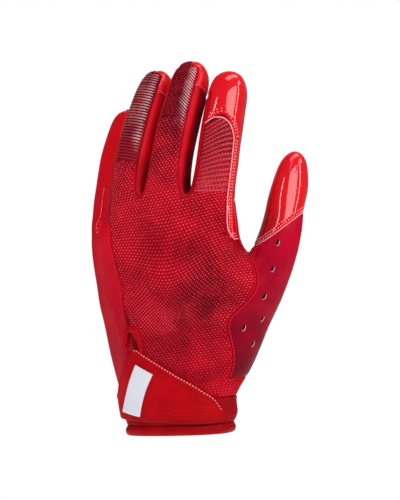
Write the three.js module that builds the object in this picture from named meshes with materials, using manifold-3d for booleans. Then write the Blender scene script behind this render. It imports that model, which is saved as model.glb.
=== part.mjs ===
// Football receiver glove for the left hand, filled out as it is on a relaxed, upright hand.
// Millimetres. +X points to the thumb side, +Y to the palm side and +Z to the fingertips.
// The origin is the middle of the wrist opening, in the plane of the hem's lower edge.
//
// The whole skin is one cage of four-sided faces: a hand ring that splits into the thumb and the
// upper hand, and an upper hand that splits into four fingers. The cage is smoothed once, and each
// face carries the name of the panel that it belongs to. A panel is then a shell with its own wall.

import * as THREE from 'three';
import Module from 'manifold-3d';
import { mergeVertices } from 'three/addons/utils/BufferGeometryUtils.js';

// Driving dimensions of the hand
const PALM_LENGTH = 146;        // hem to the root of the middle finger
const KNUCKLE_BREADTH = 90;     // across the four finger roots
const HAND_DEPTH = 30;          // back to palm at the knuckles
const THUMB_LENGTH = 69;        // web to thumb tip
const THUMB_WIDTH = 28;
const WEB_ROUNDING = 3.5;       // how far the smoothed web lies above its cage corner

// Driving dimensions of the panels
const KNIT_WALL = 1.6;
const GRIP_WALL = 1.6;
const STRETCH_WALL = 1.5;
const VENT_WALL = 1.4;
const CUFF_WALL = 1.8;
const SEAM_GAP = 0.36;          // clear width between two panels
const SHARPEST_CORNER = 0.05;   // limit on how far a panel's sharp corner draws back
const NARROWEST_TIP = 0.2;      // the same for a strip's tip that sinks into a web

// Driving dimensions of the cuff, strap and tab
const HEM_HEIGHT = 6.3;
const HEM_THICKNESS = 3.8;
const STRAP_THICKNESS = 2.0;
const STRAP_CLEARANCE = 0.5;    // strap above the panels that it lies on
const TAB_THICKNESS = 1.0;
const TAB_CLEARANCE = 0.35;
const VENT_HOLE_LENGTH = 4.2;
const VENT_HOLE_WIDTH = 2.6;

// The skin starts just above the hem, and heights in the tables are shares from there to the
// root of the middle finger
const SKIN_BASE = HEM_HEIGHT + SEAM_GAP / 2;
const SKIN_LENGTH = PALM_LENGTH - SKIN_BASE;

// Rounding of the section: 2 is an ellipse, more is squarer
const HAND_SQUARENESS = 2.4;
const FINGER_SQUARENESS = 4;
const FINGER_SWELL = 1.06;      // cage section over smoothed section
const THUMB_SQUARENESS = 2.2;
const THUMB_SWELL = 1.1;

// Rings of the hand, from the cuff to the thumb's web. Heights are shares of SKIN_LENGTH, the outer
// and inner edges shares of KNUCKLE_BREADTH, and the edges' shift to the palm side and the rise of
// back and palm shares of HAND_DEPTH. Slope is how far the ring climbs to the thumb side, a share of
// its breadth, swing how far the punched panel's seam moves to it, another share, and edge the same
// for the outer side panel's seam.
const HAND_RINGS = [
  { height: 0.000, outerX: -0.350, outerY: 0.00, innerX: 0.410, innerY: 0.03,
    back: 0.70, palm: 0.75, slope: 0.040, swing: 0, edge: 0 },
  { height: 0.044, outerX: -0.380, outerY: 0.00, innerX: 0.448, innerY: 0.05,
    back: 0.73, palm: 0.77, slope: 0.036, swing: 0, edge: 0 },
  { height: 0.112, outerX: -0.396, outerY: 0.00, innerX: 0.405, innerY: 0.07,
    back: 0.70, palm: 0.75, slope: 0.020, swing: 0.02, edge: 0 },
  { height: 0.205, outerX: -0.450, outerY: 0.00, innerX: 0.497, innerY: 0.13,
    back: 0.74, palm: 0.77, slope: 0.000, swing: 0.06, edge: 0 },
  { height: 0.298, outerX: -0.495, outerY: 0.02, innerX: 0.560, innerY: 0.22,
    back: 0.77, palm: 0.67, slope: 0.000, swing: 0.03, edge: 0.03 },
  { height: 0.384, outerX: -0.540, outerY: 0.04, innerX: 0.620, innerY: 0.30,
    back: 0.77, palm: 0.57, slope: 0.000, swing: -0.05, edge: 0.06 },
  { height: 0.455, outerX: -0.568, outerY: 0.06, innerX: 0.666, innerY: 0.37,
    back: 0.78, palm: 0.48, slope: 0.000, swing: -0.11, edge: 0.036 },
  { height: 0.520, outerX: -0.596, outerY: 0.08, innerX: 0.712, innerY: 0.40,
    back: 0.80, palm: 0.42, slope: 0.000, swing: -0.03, edge: 0.027 },
  { height: 0.598, outerX: -0.624, outerY: 0.10, innerX: 0.762, innerY: 0.43,
    back: 0.80, palm: 0.37, slope: 0.000, swing: 0.02, edge: 0.033 },
  { height: 0.749, outerX: -0.668, outerY: 0.13, innerX: 0.858, innerY: 0.47,
    back: 0.83, palm: 0.30, slope: 0.000, swing: -0.03, edge: -0.026 },
];

// Rings between the thumb's web and the finger roots
const UPPER_RINGS = [
  { height: 0.806, outerX: -0.665, outerY: 0.15, innerX: 0.445, innerY: 0.22, back: 0.76, palm: 0.32, slope: 0 },
  { height: 0.871, outerX: -0.680, outerY: 0.17, innerX: 0.455, innerY: 0.13, back: 0.70, palm: 0.30, slope: 0 },
];

// Places of the columns round a ring, as shares of its breadth, and how much of each seam's swing
// they take. The first nine back columns run on into the fingers, the rest only into the thumb.
const BACK_COLUMNS = [
  { station: 0.037, edge: 0.2, swing: 0 }, { station: 0.103, edge: 0.6, swing: 0 },
  { station: 0.186, edge: 1, swing: 0 }, { station: 0.280, edge: 0.5, swing: 0 },
  { station: 0.420, edge: 0.15, swing: 0 }, { station: 0.555, edge: 0, swing: 0 },
  { station: 0.690, edge: 0, swing: 0.2 }, { station: 0.806, edge: 0, swing: 0.55 },
  { station: 0.900, edge: 0, swing: 1 }, { station: 0.955, edge: 0, swing: 0.55 },
  { station: 0.985, edge: 0, swing: 0.2 },
];
const PALM_COLUMNS = [
  { station: 0.970 }, { station: 0.900 }, { station: 0.820 }, { station: 0.720 }, { station: 0.620 },
  { station: 0.520 }, { station: 0.420 }, { station: 0.320 }, { station: 0.220 }, { station: 0.130 },
  { station: 0.050 },
];
const UPPER_STATIONS = [0.045, 0.12, 0.22, 0.32, 0.46, 0.60, 0.74, 0.865, 0.965];

// Corners of the web between thumb and hand: across and towards the palm from the middle of the
// hand as shares of KNUCKLE_BREADTH and HAND_DEPTH, and height as a share of SKIN_LENGTH
const WEB_CORNERS = {
  back: { across: 0.545, inward: 0.05, height: 0.705 },
  middle: { across: 0.410, inward: 0.30, height: 0.728 },
  palm: { across: 0.500, inward: 0.80, height: 0.690 },
};

// Fingers from the outer side. The root's place is in shares of KNUCKLE_BREADTH, HAND_DEPTH and
// SKIN_LENGTH. Roll, lean (towards the thumb) and curl (towards the palm) are degrees.
const FINGERS = [
  {
    name: 'little', across: -0.535, inward: 0.20, height: 0.895, length: 79, width: 21.5, depth: 20.5,
    roll: -22, lean: 1, curlStart: 6, curlEnd: 42,
  },
  {
    name: 'ring', across: -0.310, inward: -0.27, height: 0.971, length: 91.5, width: 23.5, depth: 22.5,
    roll: -10, lean: 6.2, curlStart: 3, curlEnd: 39,
  },
  {
    name: 'middle', across: -0.025, inward: -0.27, height: 1.000, length: 90, width: 24.5, depth: 23,
    roll: 0, lean: 6.8, curlStart: 1, curlEnd: 32,
  },
  {
    name: 'index', across: 0.272, inward: 0.03, height: 0.985, length: 83, width: 24.5, depth: 23,
    roll: 10, lean: 5.0, curlStart: 0, curlEnd: 22,
  },
];

// Heights of the three webs between the fingers, as shares of SKIN_LENGTH
const FINGER_WEBS = [{ height: 0.911 }, { height: 1.005 }, { height: 1.000 }];
const WEB_DROP = 0.035;         // how far a web falls to the back and palm, share of SKIN_LENGTH

// Rings along a finger: share of its length, share of its width and depth, and the bow of the
// index finger's seam, as shares of length for the back's outer edge, ridge and inner edge
const FINGER_RINGS = [
  { along: 0.12, size: 1.00, outerBow: 0, ridgeBow: 0, innerBow: 0 },
  { along: 0.32, size: 1.00, outerBow: 0, ridgeBow: 0.05, innerBow: -0.07 },
  { along: 0.53, size: 0.99, outerBow: -0.09, ridgeBow: 0.16, innerBow: -0.20 },
  { along: 0.73, size: 0.96, outerBow: 0, ridgeBow: 0.09, innerBow: -0.08 },
  { along: 0.90, size: 0.84, outerBow: 0, ridgeBow: 0, innerBow: 0 },
];

// Section corners of a finger, as degrees round it from the thumb side, palm side positive
const FINGER_CORNERS = {
  backOuter: -135, back: -90, backInner: -45, inner: 0, palmInner: 45, palm: 90, palmOuter: 135, outer: 180,
};
// The index finger's inner seam lies further round on its thumb side
const INDEX_CORNERS = { ...FINGER_CORNERS, back: -82, backInner: -26, inner: 14, palmInner: 52 };
const CORNER_NAMES = Object.keys(FINGER_CORNERS);

// Rings of the thumb: along as a share of THUMB_LENGTH above the web, its middle's place in shares
// of KNUCKLE_BREADTH and HAND_DEPTH, its size as a share of THUMB_WIDTH, and the tilt in degrees
// that lifts the side away from the hand
const THUMB_RINGS = [
  { along: 0.24, across: 0.676, inward: 0.55, size: 1.08, tilt: 42 },
  { along: 0.46, across: 0.718, inward: 0.66, size: 0.92, tilt: 24 },
  { along: 0.67, across: 0.735, inward: 0.73, size: 0.80, tilt: 8 },
  { along: 0.86, across: 0.758, inward: 0.77, size: 0.56, tilt: 0 },
];
const THUMB_TIP = { along: 0.99, across: 0.770, inward: 0.78 };
const THUMB_TILT_TOWARDS = 25;  // degrees round the thumb of its highest side

// Puckers beside the strap: column and height (share of SKIN_LENGTH) of the middle, length and
// width in shares of HAND_DEPTH, rise as a share of its width, and the turn from upright in degrees
const PUCKERS = [
  { column: 2.75, height: 0.424, length: 0.28, width: 0.11, rise: 0.75, turn: 8 },
  { column: 2.1, height: 0.424, length: 0.28, width: 0.10, rise: -0.85, turn: 12 },
  { column: 1.5, height: 0.414, length: 0.32, width: 0.12, rise: 0.45, turn: 14 },
];

// Outline of the strap from its root on the palm side to its round end: columns of the hand ring,
// and its two edges as shares of SKIN_LENGTH
const STRAP_SECTIONS = [
  { column: -3.5, lower: 0.027, upper: 0.093 },
  { column: -2.0, lower: 0.025, upper: 0.100 },
  { column: -1.0, lower: 0.022, upper: 0.108 },
  { column: 0.0, lower: 0.019, upper: 0.118 },
  { column: 0.7, lower: 0.017, upper: 0.140 },
  { column: 1.4, lower: 0.015, upper: 0.197 },
  { column: 2.2, lower: 0.014, upper: 0.290 },
  { column: 2.75, lower: 0.012, upper: 0.328 },
  { column: 4.1, lower: 0.011, upper: 0.267 },
  { column: 5.3, lower: 0.011, upper: 0.213 },
  { column: 6.9, lower: 0.012, upper: 0.152 },
  { column: 7.9, lower: 0.017, upper: 0.116 },
  { column: 8.7, lower: 0.022, upper: 0.068 },
  { column: 9.0, lower: 0.028, upper: 0.042 },
];
const STRAP_STEP = 0.5;         // columns between two stations of the strap
const STRAP_STRIPS = 4;

// Corners of the white tab on the strap
const TAB_CORNERS = {
  topOuter: { column: 3.0, height: 0.257 }, topInner: { column: 4.03, height: 0.218 },
  lowOuter: { column: 1.05, height: 0.058 }, lowInner: { column: 3.0, height: 0.034 },
};
const TAB_ROWS = 6;
const TAB_STRIPS = 2;

// Holes of the punched panel: column and height as a share of SKIN_LENGTH
const VENT_HOLES = [
  { column: 9.6, height: 0.785 }, { column: 11.3, height: 0.853 }, { column: 9.6, height: 0.674 },
  { column: 9.3, height: 0.557 }, { column: 11.0, height: 0.686 }, { column: 10.1, height: 0.459 },
  { column: 9.0, height: 0.421 }, { column: 9.9, height: 0.352 }, { column: 11.2, height: 0.404 },
  { column: 11.3, height: 0.540 },
];
const HOLE_SIDES = 8;
const HOLE_REACH = 4;           // length of the cutting prism in walls
const HOLE_LEAN = -18;          // degrees that a hole's long axis leans

// Panels: wall, colour and gloss
const PANELS = {
  back_panel: { wall: KNIT_WALL, colour: 0xb00a20, roughness: 0.75 },
  outer_side_panel: { wall: STRETCH_WALL, colour: 0xd8091d, roughness: 0.6 },
  palm_panel: { wall: GRIP_WALL, colour: 0xd00a20, roughness: 0.35 },
  index_grip: { wall: GRIP_WALL, colour: 0xe00a22, roughness: 0.3 },
  fourchette_little_ring: { wall: STRETCH_WALL, colour: 0xd4091c, roughness: 0.6 },
  fourchette_ring_middle: { wall: STRETCH_WALL, colour: 0xd4091c, roughness: 0.6 },
  fourchette_middle_index: { wall: STRETCH_WALL, colour: 0xd4091c, roughness: 0.6 },
  thumb_grip: { wall: GRIP_WALL, colour: 0xdc0a1e, roughness: 0.3 },
  vent_panel: { wall: VENT_WALL, colour: 0xa80828, roughness: 0.45 },
  cuff_band: { wall: CUFF_WALL, colour: 0xc2081a, roughness: 0.7 },
};

// Colour and gloss of the trim
const HEM_FINISH = { colour: 0xc0081a, roughness: 0.6 };
const STRAP_FINISH = { colour: 0xd4091c, roughness: 0.5 };
const TAB_FINISH = { colour: 0xd8dade, roughness: 0.5 };

// Columns of the hand ring with a name of their own
const OUTER_SEAM = 2;
const VENT_SEAM = 8;
const THUMB_EDGE = 12;
const RING_SIZE = BACK_COLUMNS.length + PALM_COLUMNS.length + 2;
const THUMB_ONLY_COLUMNS = 5;
const OUTER_PALM_SEAM = RING_SIZE - 2;
const UPPER_OUTER_PALM_SEAM = OUTER_PALM_SEAM - THUMB_ONLY_COLUMNS + 1;

// Rows of the hand with a name of their own, and the rows of the index finger under its arch seam
const CUFF_ROW = 2;
const VENT_ROW = 3;
const ARCH_ROW = 3;

// Fineness of the shapes that aren't cage faces
const HEM_SIDES = 8;
const HEM_STEPS = 2;            // sections of the hem to a column
const CURL_STEPS = 24;          // straight pieces of a finger's curled centre line
const SEARCH_STEPS = 24;
const SAMPLE_STEP = 0.05;       // share of a row or column between two samples of the skin
const MERGE_DISTANCE = 1e-4;

const wasm = await Module();
wasm.setup();

const radians = THREE.MathUtils.degToRad;

function heightAt(share) {
  return SKIN_BASE + share * SKIN_LENGTH;
}

function place(across, inward, height) {
  return new THREE.Vector3(across * KNUCKLE_BREADTH, inward * HAND_DEPTH, heightAt(height));
}

// Points and named faces of the cage
function makeCage() {
  return { points: [], faces: [] };
}

function addPoint(cage, point) {
  cage.points.push(point);
  return cage.points.length - 1;
}

function addFace(cage, loop, panel) {
  cage.faces.push({ loop, panel });
}

// A point on the back (side -1) or palm (side 1) of a hand ring
function ringPoint(ring, station, side) {
  const bulge = (1 - Math.abs(2 * station - 1) ** HAND_SQUARENESS) ** (1 / HAND_SQUARENESS);
  const depth = side < 0 ? ring.back : ring.palm;
  const across = THREE.MathUtils.lerp(ring.outerX, ring.innerX, station);
  const inward = THREE.MathUtils.lerp(ring.outerY, ring.innerY, station) + side * depth * bulge;
  const point = place(across, inward, ring.height);
  point.z += ring.slope * KNUCKLE_BREADTH * (station - 0.5);
  return point;
}

// Points of a full hand ring, from the outer back column round the thumb side to the outer edge
function handRingPoints(ring) {
  const back = BACK_COLUMNS.map(({ station, edge, swing }) => (
    ringPoint(ring, station + edge * ring.edge + swing * ring.swing, -1)
  ));
  const palm = PALM_COLUMNS.map((column) => ringPoint(ring, column.station, 1));
  return [...back, ringPoint(ring, 1, -1), ...palm, ringPoint(ring, 0, -1)];
}

// Points of a ring above the thumb, which has no thumb columns
function upperRingPoints(ring) {
  const back = UPPER_STATIONS.map((station) => ringPoint(ring, station, -1));
  const palm = [...UPPER_STATIONS].reverse().map((station) => ringPoint(ring, station, 1));
  return [...back, ringPoint(ring, 1, -1), ...palm, ringPoint(ring, 0, -1)];
}

// Panel of a hand face between two rows, from the column on its outer side
function handPanel(row, column) {
  if (row < CUFF_ROW) return 'cuff_band';
  const outer = column < OUTER_SEAM || column >= OUTER_PALM_SEAM;
  if (outer) return 'outer_side_panel';
  if (column < VENT_SEAM) return 'back_panel';
  if (column < THUMB_EDGE) return row < VENT_ROW ? 'back_panel' : 'vent_panel';
  return 'palm_panel';
}

// Centre line of a finger: place and direction at a share of its length
function fingerFrame(finger, along) {
  const root = place(finger.across, finger.inward, finger.height);
  const direction = new THREE.Vector3();
  for (let step = 0; step <= CURL_STEPS; step += 1) {
    const share = along * (step / CURL_STEPS);
    const curl = radians(THREE.MathUtils.lerp(finger.curlStart, finger.curlEnd, share));
    const lean = radians(finger.lean);
    direction.set(Math.sin(lean), Math.sin(curl) * Math.cos(lean), Math.cos(curl) * Math.cos(lean));
    if (step < CURL_STEPS) root.addScaledVector(direction, (finger.length * along) / CURL_STEPS);
  }
  const thumbward = new THREE.Vector3(1, 0, 0).addScaledVector(direction, -direction.x).normalize();
  thumbward.applyAxisAngle(direction, radians(finger.roll));
  const palmward = new THREE.Vector3().crossVectors(direction, thumbward);
  return { origin: root, direction, thumbward, palmward };
}

// A point round a finger's section, on a squared circle
function sectionPoint(frame, angle, halfWidth, halfDepth, squareness) {
  const cosine = Math.cos(radians(angle));
  const sine = Math.sin(radians(angle));
  const across = Math.sign(cosine) * Math.abs(cosine) ** (2 / squareness) * halfWidth;
  const inward = Math.sign(sine) * Math.abs(sine) ** (2 / squareness) * halfDepth;
  return frame.origin.clone()
    .addScaledVector(frame.thumbward, across)
    .addScaledVector(frame.palmward, inward);
}

function fingerRing(finger, ring) {
  const corners = finger.name === 'index' ? INDEX_CORNERS : FINGER_CORNERS;
  const bows = finger.name === 'index'
    ? { backOuter: ring.outerBow, back: ring.ridgeBow, backInner: ring.innerBow }
    : {};
  return CORNER_NAMES.map((name) => {
    const frame = fingerFrame(finger, ring.along + (bows[name] ?? 0));
    const half = ring.size * FINGER_SWELL / 2;
    return sectionPoint(frame, corners[name], finger.width * half, finger.depth * half, FINGER_SQUARENESS);
  });
}

// Panel of a finger face, from its corner and its row
function fingerPanel(finger, row, corner) {
  const gap = FINGERS.indexOf(finger);
  const strips = ['fourchette_little_ring', 'fourchette_ring_middle', 'fourchette_middle_index'];
  const nearTip = row >= FINGER_RINGS.length - 1;
  const palmSide = corner === 'palmInner' || corner === 'palm';
  const innerSide = corner === 'backInner' || corner === 'inner';
  const outerSide = corner === 'palmOuter' || corner === 'outer';
  if (finger.name === 'index') {
    const underArch = row < ARCH_ROW && (corner === 'backOuter' || corner === 'back');
    if (underArch) return 'back_panel';
    return outerSide && !nearTip ? strips[2] : 'index_grip';
  }
  if (palmSide) return 'palm_panel';
  if (innerSide) return nearTip ? 'palm_panel' : strips[gap];
  if (finger.name === 'little') return 'outer_side_panel';
  if (outerSide) return nearTip ? 'palm_panel' : strips[gap - 1];
  return 'back_panel';
}

// A tube of rings, each joined to the one before, closed with four faces to a middle point
function addTube(cage, rootRing, rings, tip, panelOf) {
  let below = rootRing;
  rings.forEach((points, row) => {
    const above = points.map((point) => addPoint(cage, point));
    joinRings(cage, below, above, (column) => panelOf(row, CORNER_NAMES[column]));
    below = above;
  });
  const middle = addPoint(cage, tip);
  const count = below.length;
  for (let corner = 0; corner < count; corner += 2) {
    const loop = [below[corner], below[corner + 1], middle, below[(corner + count - 1) % count]];
    addFace(cage, loop, panelOf(rings.length, CORNER_NAMES[corner]));
  }
}

function joinRings(cage, below, above, panelOf) {
  for (let column = 0; column < below.length; column += 1) {
    const next = (column + 1) % below.length;
    addFace(cage, [below[column], below[next], above[next], above[column]], panelOf(column));
  }
}

// The web between two fingers, from the facing corners of their root rings
function fingerWeb(left, right, web) {
  const middle = (first, second, drop) => {
    const point = first.clone().add(second).multiplyScalar(0.5);
    point.z = heightAt(web.height - drop);
    return point;
  };
  const rounding = WEB_ROUNDING / SKIN_LENGTH;
  return {
    back: middle(left[2], right[0], WEB_DROP),
    middle: middle(left[3], right[7], rounding),
    palm: middle(left[4], right[6], WEB_DROP),
  };
}

// Root rings of the four fingers, which share the corners of their webs
function addFingerRoots(cage) {
  const rootRing = { along: 0, size: 1, outerBow: 0, ridgeBow: 0, innerBow: 0 };
  const loose = FINGERS.map((finger) => fingerRing(finger, rootRing));
  const rings = loose.map((points) => points.map(() => null));
  FINGER_WEBS.forEach((web, gap) => {
    const corners = fingerWeb(loose[gap], loose[gap + 1], web);
    const back = addPoint(cage, corners.back);
    const middle = addPoint(cage, corners.middle);
    const palm = addPoint(cage, corners.palm);
    [rings[gap][2], rings[gap][3], rings[gap][4]] = [back, middle, palm];
    [rings[gap + 1][0], rings[gap + 1][7], rings[gap + 1][6]] = [back, middle, palm];
  });
  return rings.map((ring, finger) => ring.map((id, corner) => id ?? addPoint(cage, loose[finger][corner])));
}

// One ring round all four finger roots
function aroundRoots([little, ring, middle, index]) {
  const back = [little[0], little[1], little[2], ring[1], ring[2], middle[1], middle[2], index[1], index[2]];
  const palm = [index[4], index[5], middle[4], middle[5], ring[4], ring[5], little[4], little[5], little[6]];
  return [...back, index[3], ...palm, little[7]];
}

function upperPanel(row, column) {
  if (column === VENT_SEAM) return row === 0 ? 'back_panel' : 'index_grip';
  const outer = column < OUTER_SEAM || column >= UPPER_OUTER_PALM_SEAM;
  if (outer) return 'outer_side_panel';
  return column < VENT_SEAM ? 'back_panel' : 'palm_panel';
}

function thumbPoints(ring) {
  const height = heightAt(WEB_CORNERS.middle.height) + ring.along * THUMB_LENGTH;
  const origin = place(ring.across, ring.inward, 0).setZ(height);
  const half = ring.size * THUMB_WIDTH * THUMB_SWELL / 2;
  const frame = { origin, thumbward: new THREE.Vector3(1, 0, 0), palmward: new THREE.Vector3(0, 1, 0) };
  return CORNER_NAMES.map((name) => {
    const angle = FINGER_CORNERS[name];
    const point = sectionPoint(frame, angle, half, half, THUMB_SQUARENESS);
    point.z += half * Math.tan(radians(ring.tilt)) * Math.cos(radians(angle - THUMB_TILT_TOWARDS));
    return point;
  });
}

function thumbPanel(row, corner) {
  if (row > 0) return 'thumb_grip';
  if (corner === 'outer') return 'back_panel';
  const palmSide = corner === 'palmInner' || corner === 'palm' || corner === 'palmOuter';
  return palmSide ? 'palm_panel' : 'vent_panel';
}

// The whole cage of the glove
function makeGloveCage() {
  const cage = makeCage();
  const rows = HAND_RINGS.map((ring) => handRingPoints(ring));
  const split = rows[rows.length - 1];
  const backWeb = VENT_SEAM;
  const palmWeb = VENT_SEAM + THUMB_ONLY_COLUMNS + 1;
  const corner = (web) => place(web.across, web.inward, web.height);
  split[backWeb] = corner(WEB_CORNERS.back);
  split[palmWeb] = corner(WEB_CORNERS.palm);
  const lattice = rows.map((points) => points.map((point) => addPoint(cage, point)));
  for (let row = 0; row + 1 < lattice.length; row += 1) {
    joinRings(cage, lattice[row], lattice[row + 1], (column) => handPanel(row, column));
  }
  const splitRow = lattice[lattice.length - 1];
  const web = addPoint(cage, corner(WEB_CORNERS.middle));

  const upperRoot = [...splitRow.slice(0, backWeb + 1), web, ...splitRow.slice(palmWeb)];
  const roots = addFingerRoots(cage);
  const upper = UPPER_RINGS.map((ring) => upperRingPoints(ring).map((point) => addPoint(cage, point)));
  const steps = [upperRoot, ...upper, aroundRoots(roots)];
  for (let row = 0; row + 1 < steps.length; row += 1) {
    joinRings(cage, steps[row], steps[row + 1], (column) => upperPanel(row, column));
  }

  FINGERS.forEach((finger, count) => {
    const rings = FINGER_RINGS.map((ring) => fingerRing(finger, ring));
    const tip = fingerFrame(finger, 1).origin;
    addTube(cage, roots[count], rings, tip, (row, name) => fingerPanel(finger, row, name));
  });

  const thumbRoot = [...splitRow.slice(backWeb, palmWeb + 1), web];
  const thumbTip = place(THUMB_TIP.across, THUMB_TIP.inward, 0);
  thumbTip.z = heightAt(WEB_CORNERS.middle.height) + THUMB_TIP.along * THUMB_LENGTH;
  addTube(cage, thumbRoot, THUMB_RINGS.map(thumbPoints), thumbTip, thumbPanel);
  return { cage, rows };
}

function edgeKey(first, second) {
  return first < second ? `${first}_${second}` : `${second}_${first}`;
}

// Faces beside each edge
function edgeFaces(faces) {
  const edges = new Map();
  faces.forEach((face, id) => {
    face.loop.forEach((start, corner) => {
      const end = face.loop[(corner + 1) % face.loop.length];
      const key = edgeKey(start, end);
      if (!edges.has(key)) edges.set(key, { ends: [start, end], faces: [] });
      edges.get(key).faces.push(id);
    });
  });
  return edges;
}

function average(points) {
  const sum = new THREE.Vector3();
  points.forEach((point) => sum.add(point));
  return sum.divideScalar(points.length);
}

// One step of smoothing: each face becomes four, and every point moves to the weighted mean of
// its neighbours. The open edge at the cuff is smoothed along itself.
function smooth({ points, faces }) {
  const edges = edgeFaces(faces);
  const facePoints = faces.map((face) => average(face.loop.map((id) => points[id])));
  const around = points.map(() => ({ edges: [], faces: [], rim: [] }));
  faces.forEach((face, id) => face.loop.forEach((point) => around[point].faces.push(id)));
  edges.forEach((edge) => {
    const rim = edge.faces.length === 1;
    edge.ends.forEach((end, side) => {
      around[end].edges.push(edge);
      if (rim) around[end].rim.push(edge.ends[1 - side]);
    });
  });
  const moved = points.map((point, id) => {
    const near = around[id];
    if (near.rim.length) {
      return average(near.rim.map((other) => points[other])).lerp(point, 0.75);
    }
    const count = near.edges.length;
    const faceMean = average(near.faces.map((face) => facePoints[face]));
    const edgeMean = average(near.edges.map((edge) => average(edge.ends.map((end) => points[end]))));
    return point.clone().multiplyScalar(count - 3).addScaledVector(edgeMean, 2).add(faceMean)
      .divideScalar(count);
  });
  const result = { points: moved, faces: [] };
  const edgeIds = new Map();
  edges.forEach((edge, key) => {
    const ends = edge.ends.map((end) => points[end]);
    const sides = edge.faces.map((face) => facePoints[face]);
    const mean = sides.length === 2 ? average([...ends, ...sides]) : average(ends);
    edgeIds.set(key, addPoint(result, mean));
  });
  faces.forEach((face, id) => {
    const middle = addPoint(result, facePoints[id]);
    face.loop.forEach((point, corner) => {
      const next = face.loop[(corner + 1) % 4];
      const previous = face.loop[(corner + 3) % 4];
      const loop = [point, edgeIds.get(edgeKey(point, next)), middle, edgeIds.get(edgeKey(previous, point))];
      addFace(result, loop, face.panel);
    });
  });
  return result;
}

// Moves each point to where endless smoothing would leave it
function settle({ points, faces }) {
  const edges = edgeFaces(faces);
  const sums = points.map(() => ({ edge: new THREE.Vector3(), far: new THREE.Vector3(), count: 0, rim: [] }));
  edges.forEach((edge) => {
    edge.ends.forEach((end, side) => {
      const other = edge.ends[1 - side];
      sums[end].edge.add(points[other]);
      sums[end].count += 1;
      if (edge.faces.length === 1) sums[end].rim.push(points[other]);
    });
  });
  faces.forEach((face) => {
    face.loop.forEach((point, corner) => sums[point].far.add(points[face.loop[(corner + 2) % 4]]));
  });
  const settled = points.map((point, id) => {
    const { edge, far, count, rim } = sums[id];
    if (rim.length) return average(rim).lerp(point, 2 / 3);
    return point.clone().multiplyScalar(count * count).addScaledVector(edge, 4).add(far)
      .divideScalar(count * (count + 5));
  });
  return { points: settled, faces };
}

function faceNormal(points, loop) {
  const [a, b, c, d] = loop.map((id) => points[id]);
  return new THREE.Vector3().crossVectors(c.clone().sub(a), d.clone().sub(b));
}

function pointNormals({ points, faces }) {
  const normals = points.map(() => new THREE.Vector3());
  faces.forEach((face) => {
    const normal = faceNormal(points, face.loop);
    face.loop.forEach((id) => normals[id].add(normal));
  });
  return normals.map((normal) => normal.normalize());
}

// Weights of four neighbouring cage points on a smooth curve
function curveWeights(share) {
  return [
    (1 - share) ** 3 / 6,
    (3 * share ** 3 - 6 * share ** 2 + 4) / 6,
    (-3 * share ** 3 + 3 * share ** 2 + 3 * share + 1) / 6,
    share ** 3 / 6,
  ];
}

// The smoothed hand at a column and row, which may lie between two of them
function handSurface(rows, column, row) {
  const at = (r, c) => rows[r][((c % RING_SIZE) + RING_SIZE) % RING_SIZE];
  const cagePoint = (r, c) => (r >= 0 ? at(r, c) : at(0, c).clone().multiplyScalar(2).sub(at(1, c)));
  const firstColumn = Math.floor(column);
  const firstRow = Math.floor(row);
  const acrossWeights = curveWeights(column - firstColumn);
  const upWeights = curveWeights(row - firstRow);
  const point = new THREE.Vector3();
  upWeights.forEach((up, rowStep) => acrossWeights.forEach((across, columnStep) => {
    point.addScaledVector(cagePoint(firstRow - 1 + rowStep, firstColumn - 1 + columnStep), up * across);
  }));
  return point;
}

function rowAtHeight(rows, column, height) {
  let low = 0;
  let high = HAND_RINGS.length - 3;
  for (let step = 0; step < SEARCH_STEPS; step += 1) {
    const row = (low + high) / 2;
    if (handSurface(rows, column, row).z < height) low = row;
    else high = row;
  }
  return (low + high) / 2;
}

// Place and outward direction on the smoothed hand at a column and height
function handSpot(rows, column, height) {
  const row = rowAtHeight(rows, column, height);
  const point = handSurface(rows, column, row);
  const across = handSurface(rows, column + SAMPLE_STEP, row)
    .sub(handSurface(rows, column - SAMPLE_STEP, row))
    .normalize();
  const up = handSurface(rows, column, row + SAMPLE_STEP)
    .sub(handSurface(rows, column, Math.max(row - SAMPLE_STEP, 0)));
  return { point, across, normal: new THREE.Vector3().crossVectors(across, up).normalize() };
}

// Raises or sinks the skin along short ridges
function addPuckers(skin, rows, puckers) {
  const normals = pointNormals(skin);
  const points = skin.points.map((point) => point.clone());
  puckers.forEach((pucker) => {
    const spot = handSpot(rows, pucker.column, heightAt(pucker.height));
    const along = new THREE.Vector3().crossVectors(spot.normal, spot.across).normalize()
      .applyAxisAngle(spot.normal, radians(pucker.turn));
    const across = new THREE.Vector3().crossVectors(along, spot.normal);
    const length = pucker.length * HAND_DEPTH;
    const width = pucker.width * HAND_DEPTH;
    skin.points.forEach((point, id) => {
      const offset = point.clone().sub(spot.point);
      const distance = (offset.dot(across) / width) ** 2 + (offset.dot(along) / length) ** 2;
      const facing = normals[id].dot(spot.normal) > 0;
      if (facing) points[id].addScaledVector(normals[id], pucker.rise * width * Math.exp(-distance));
    });
  });
  return { points, faces: skin.faces };
}

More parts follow.
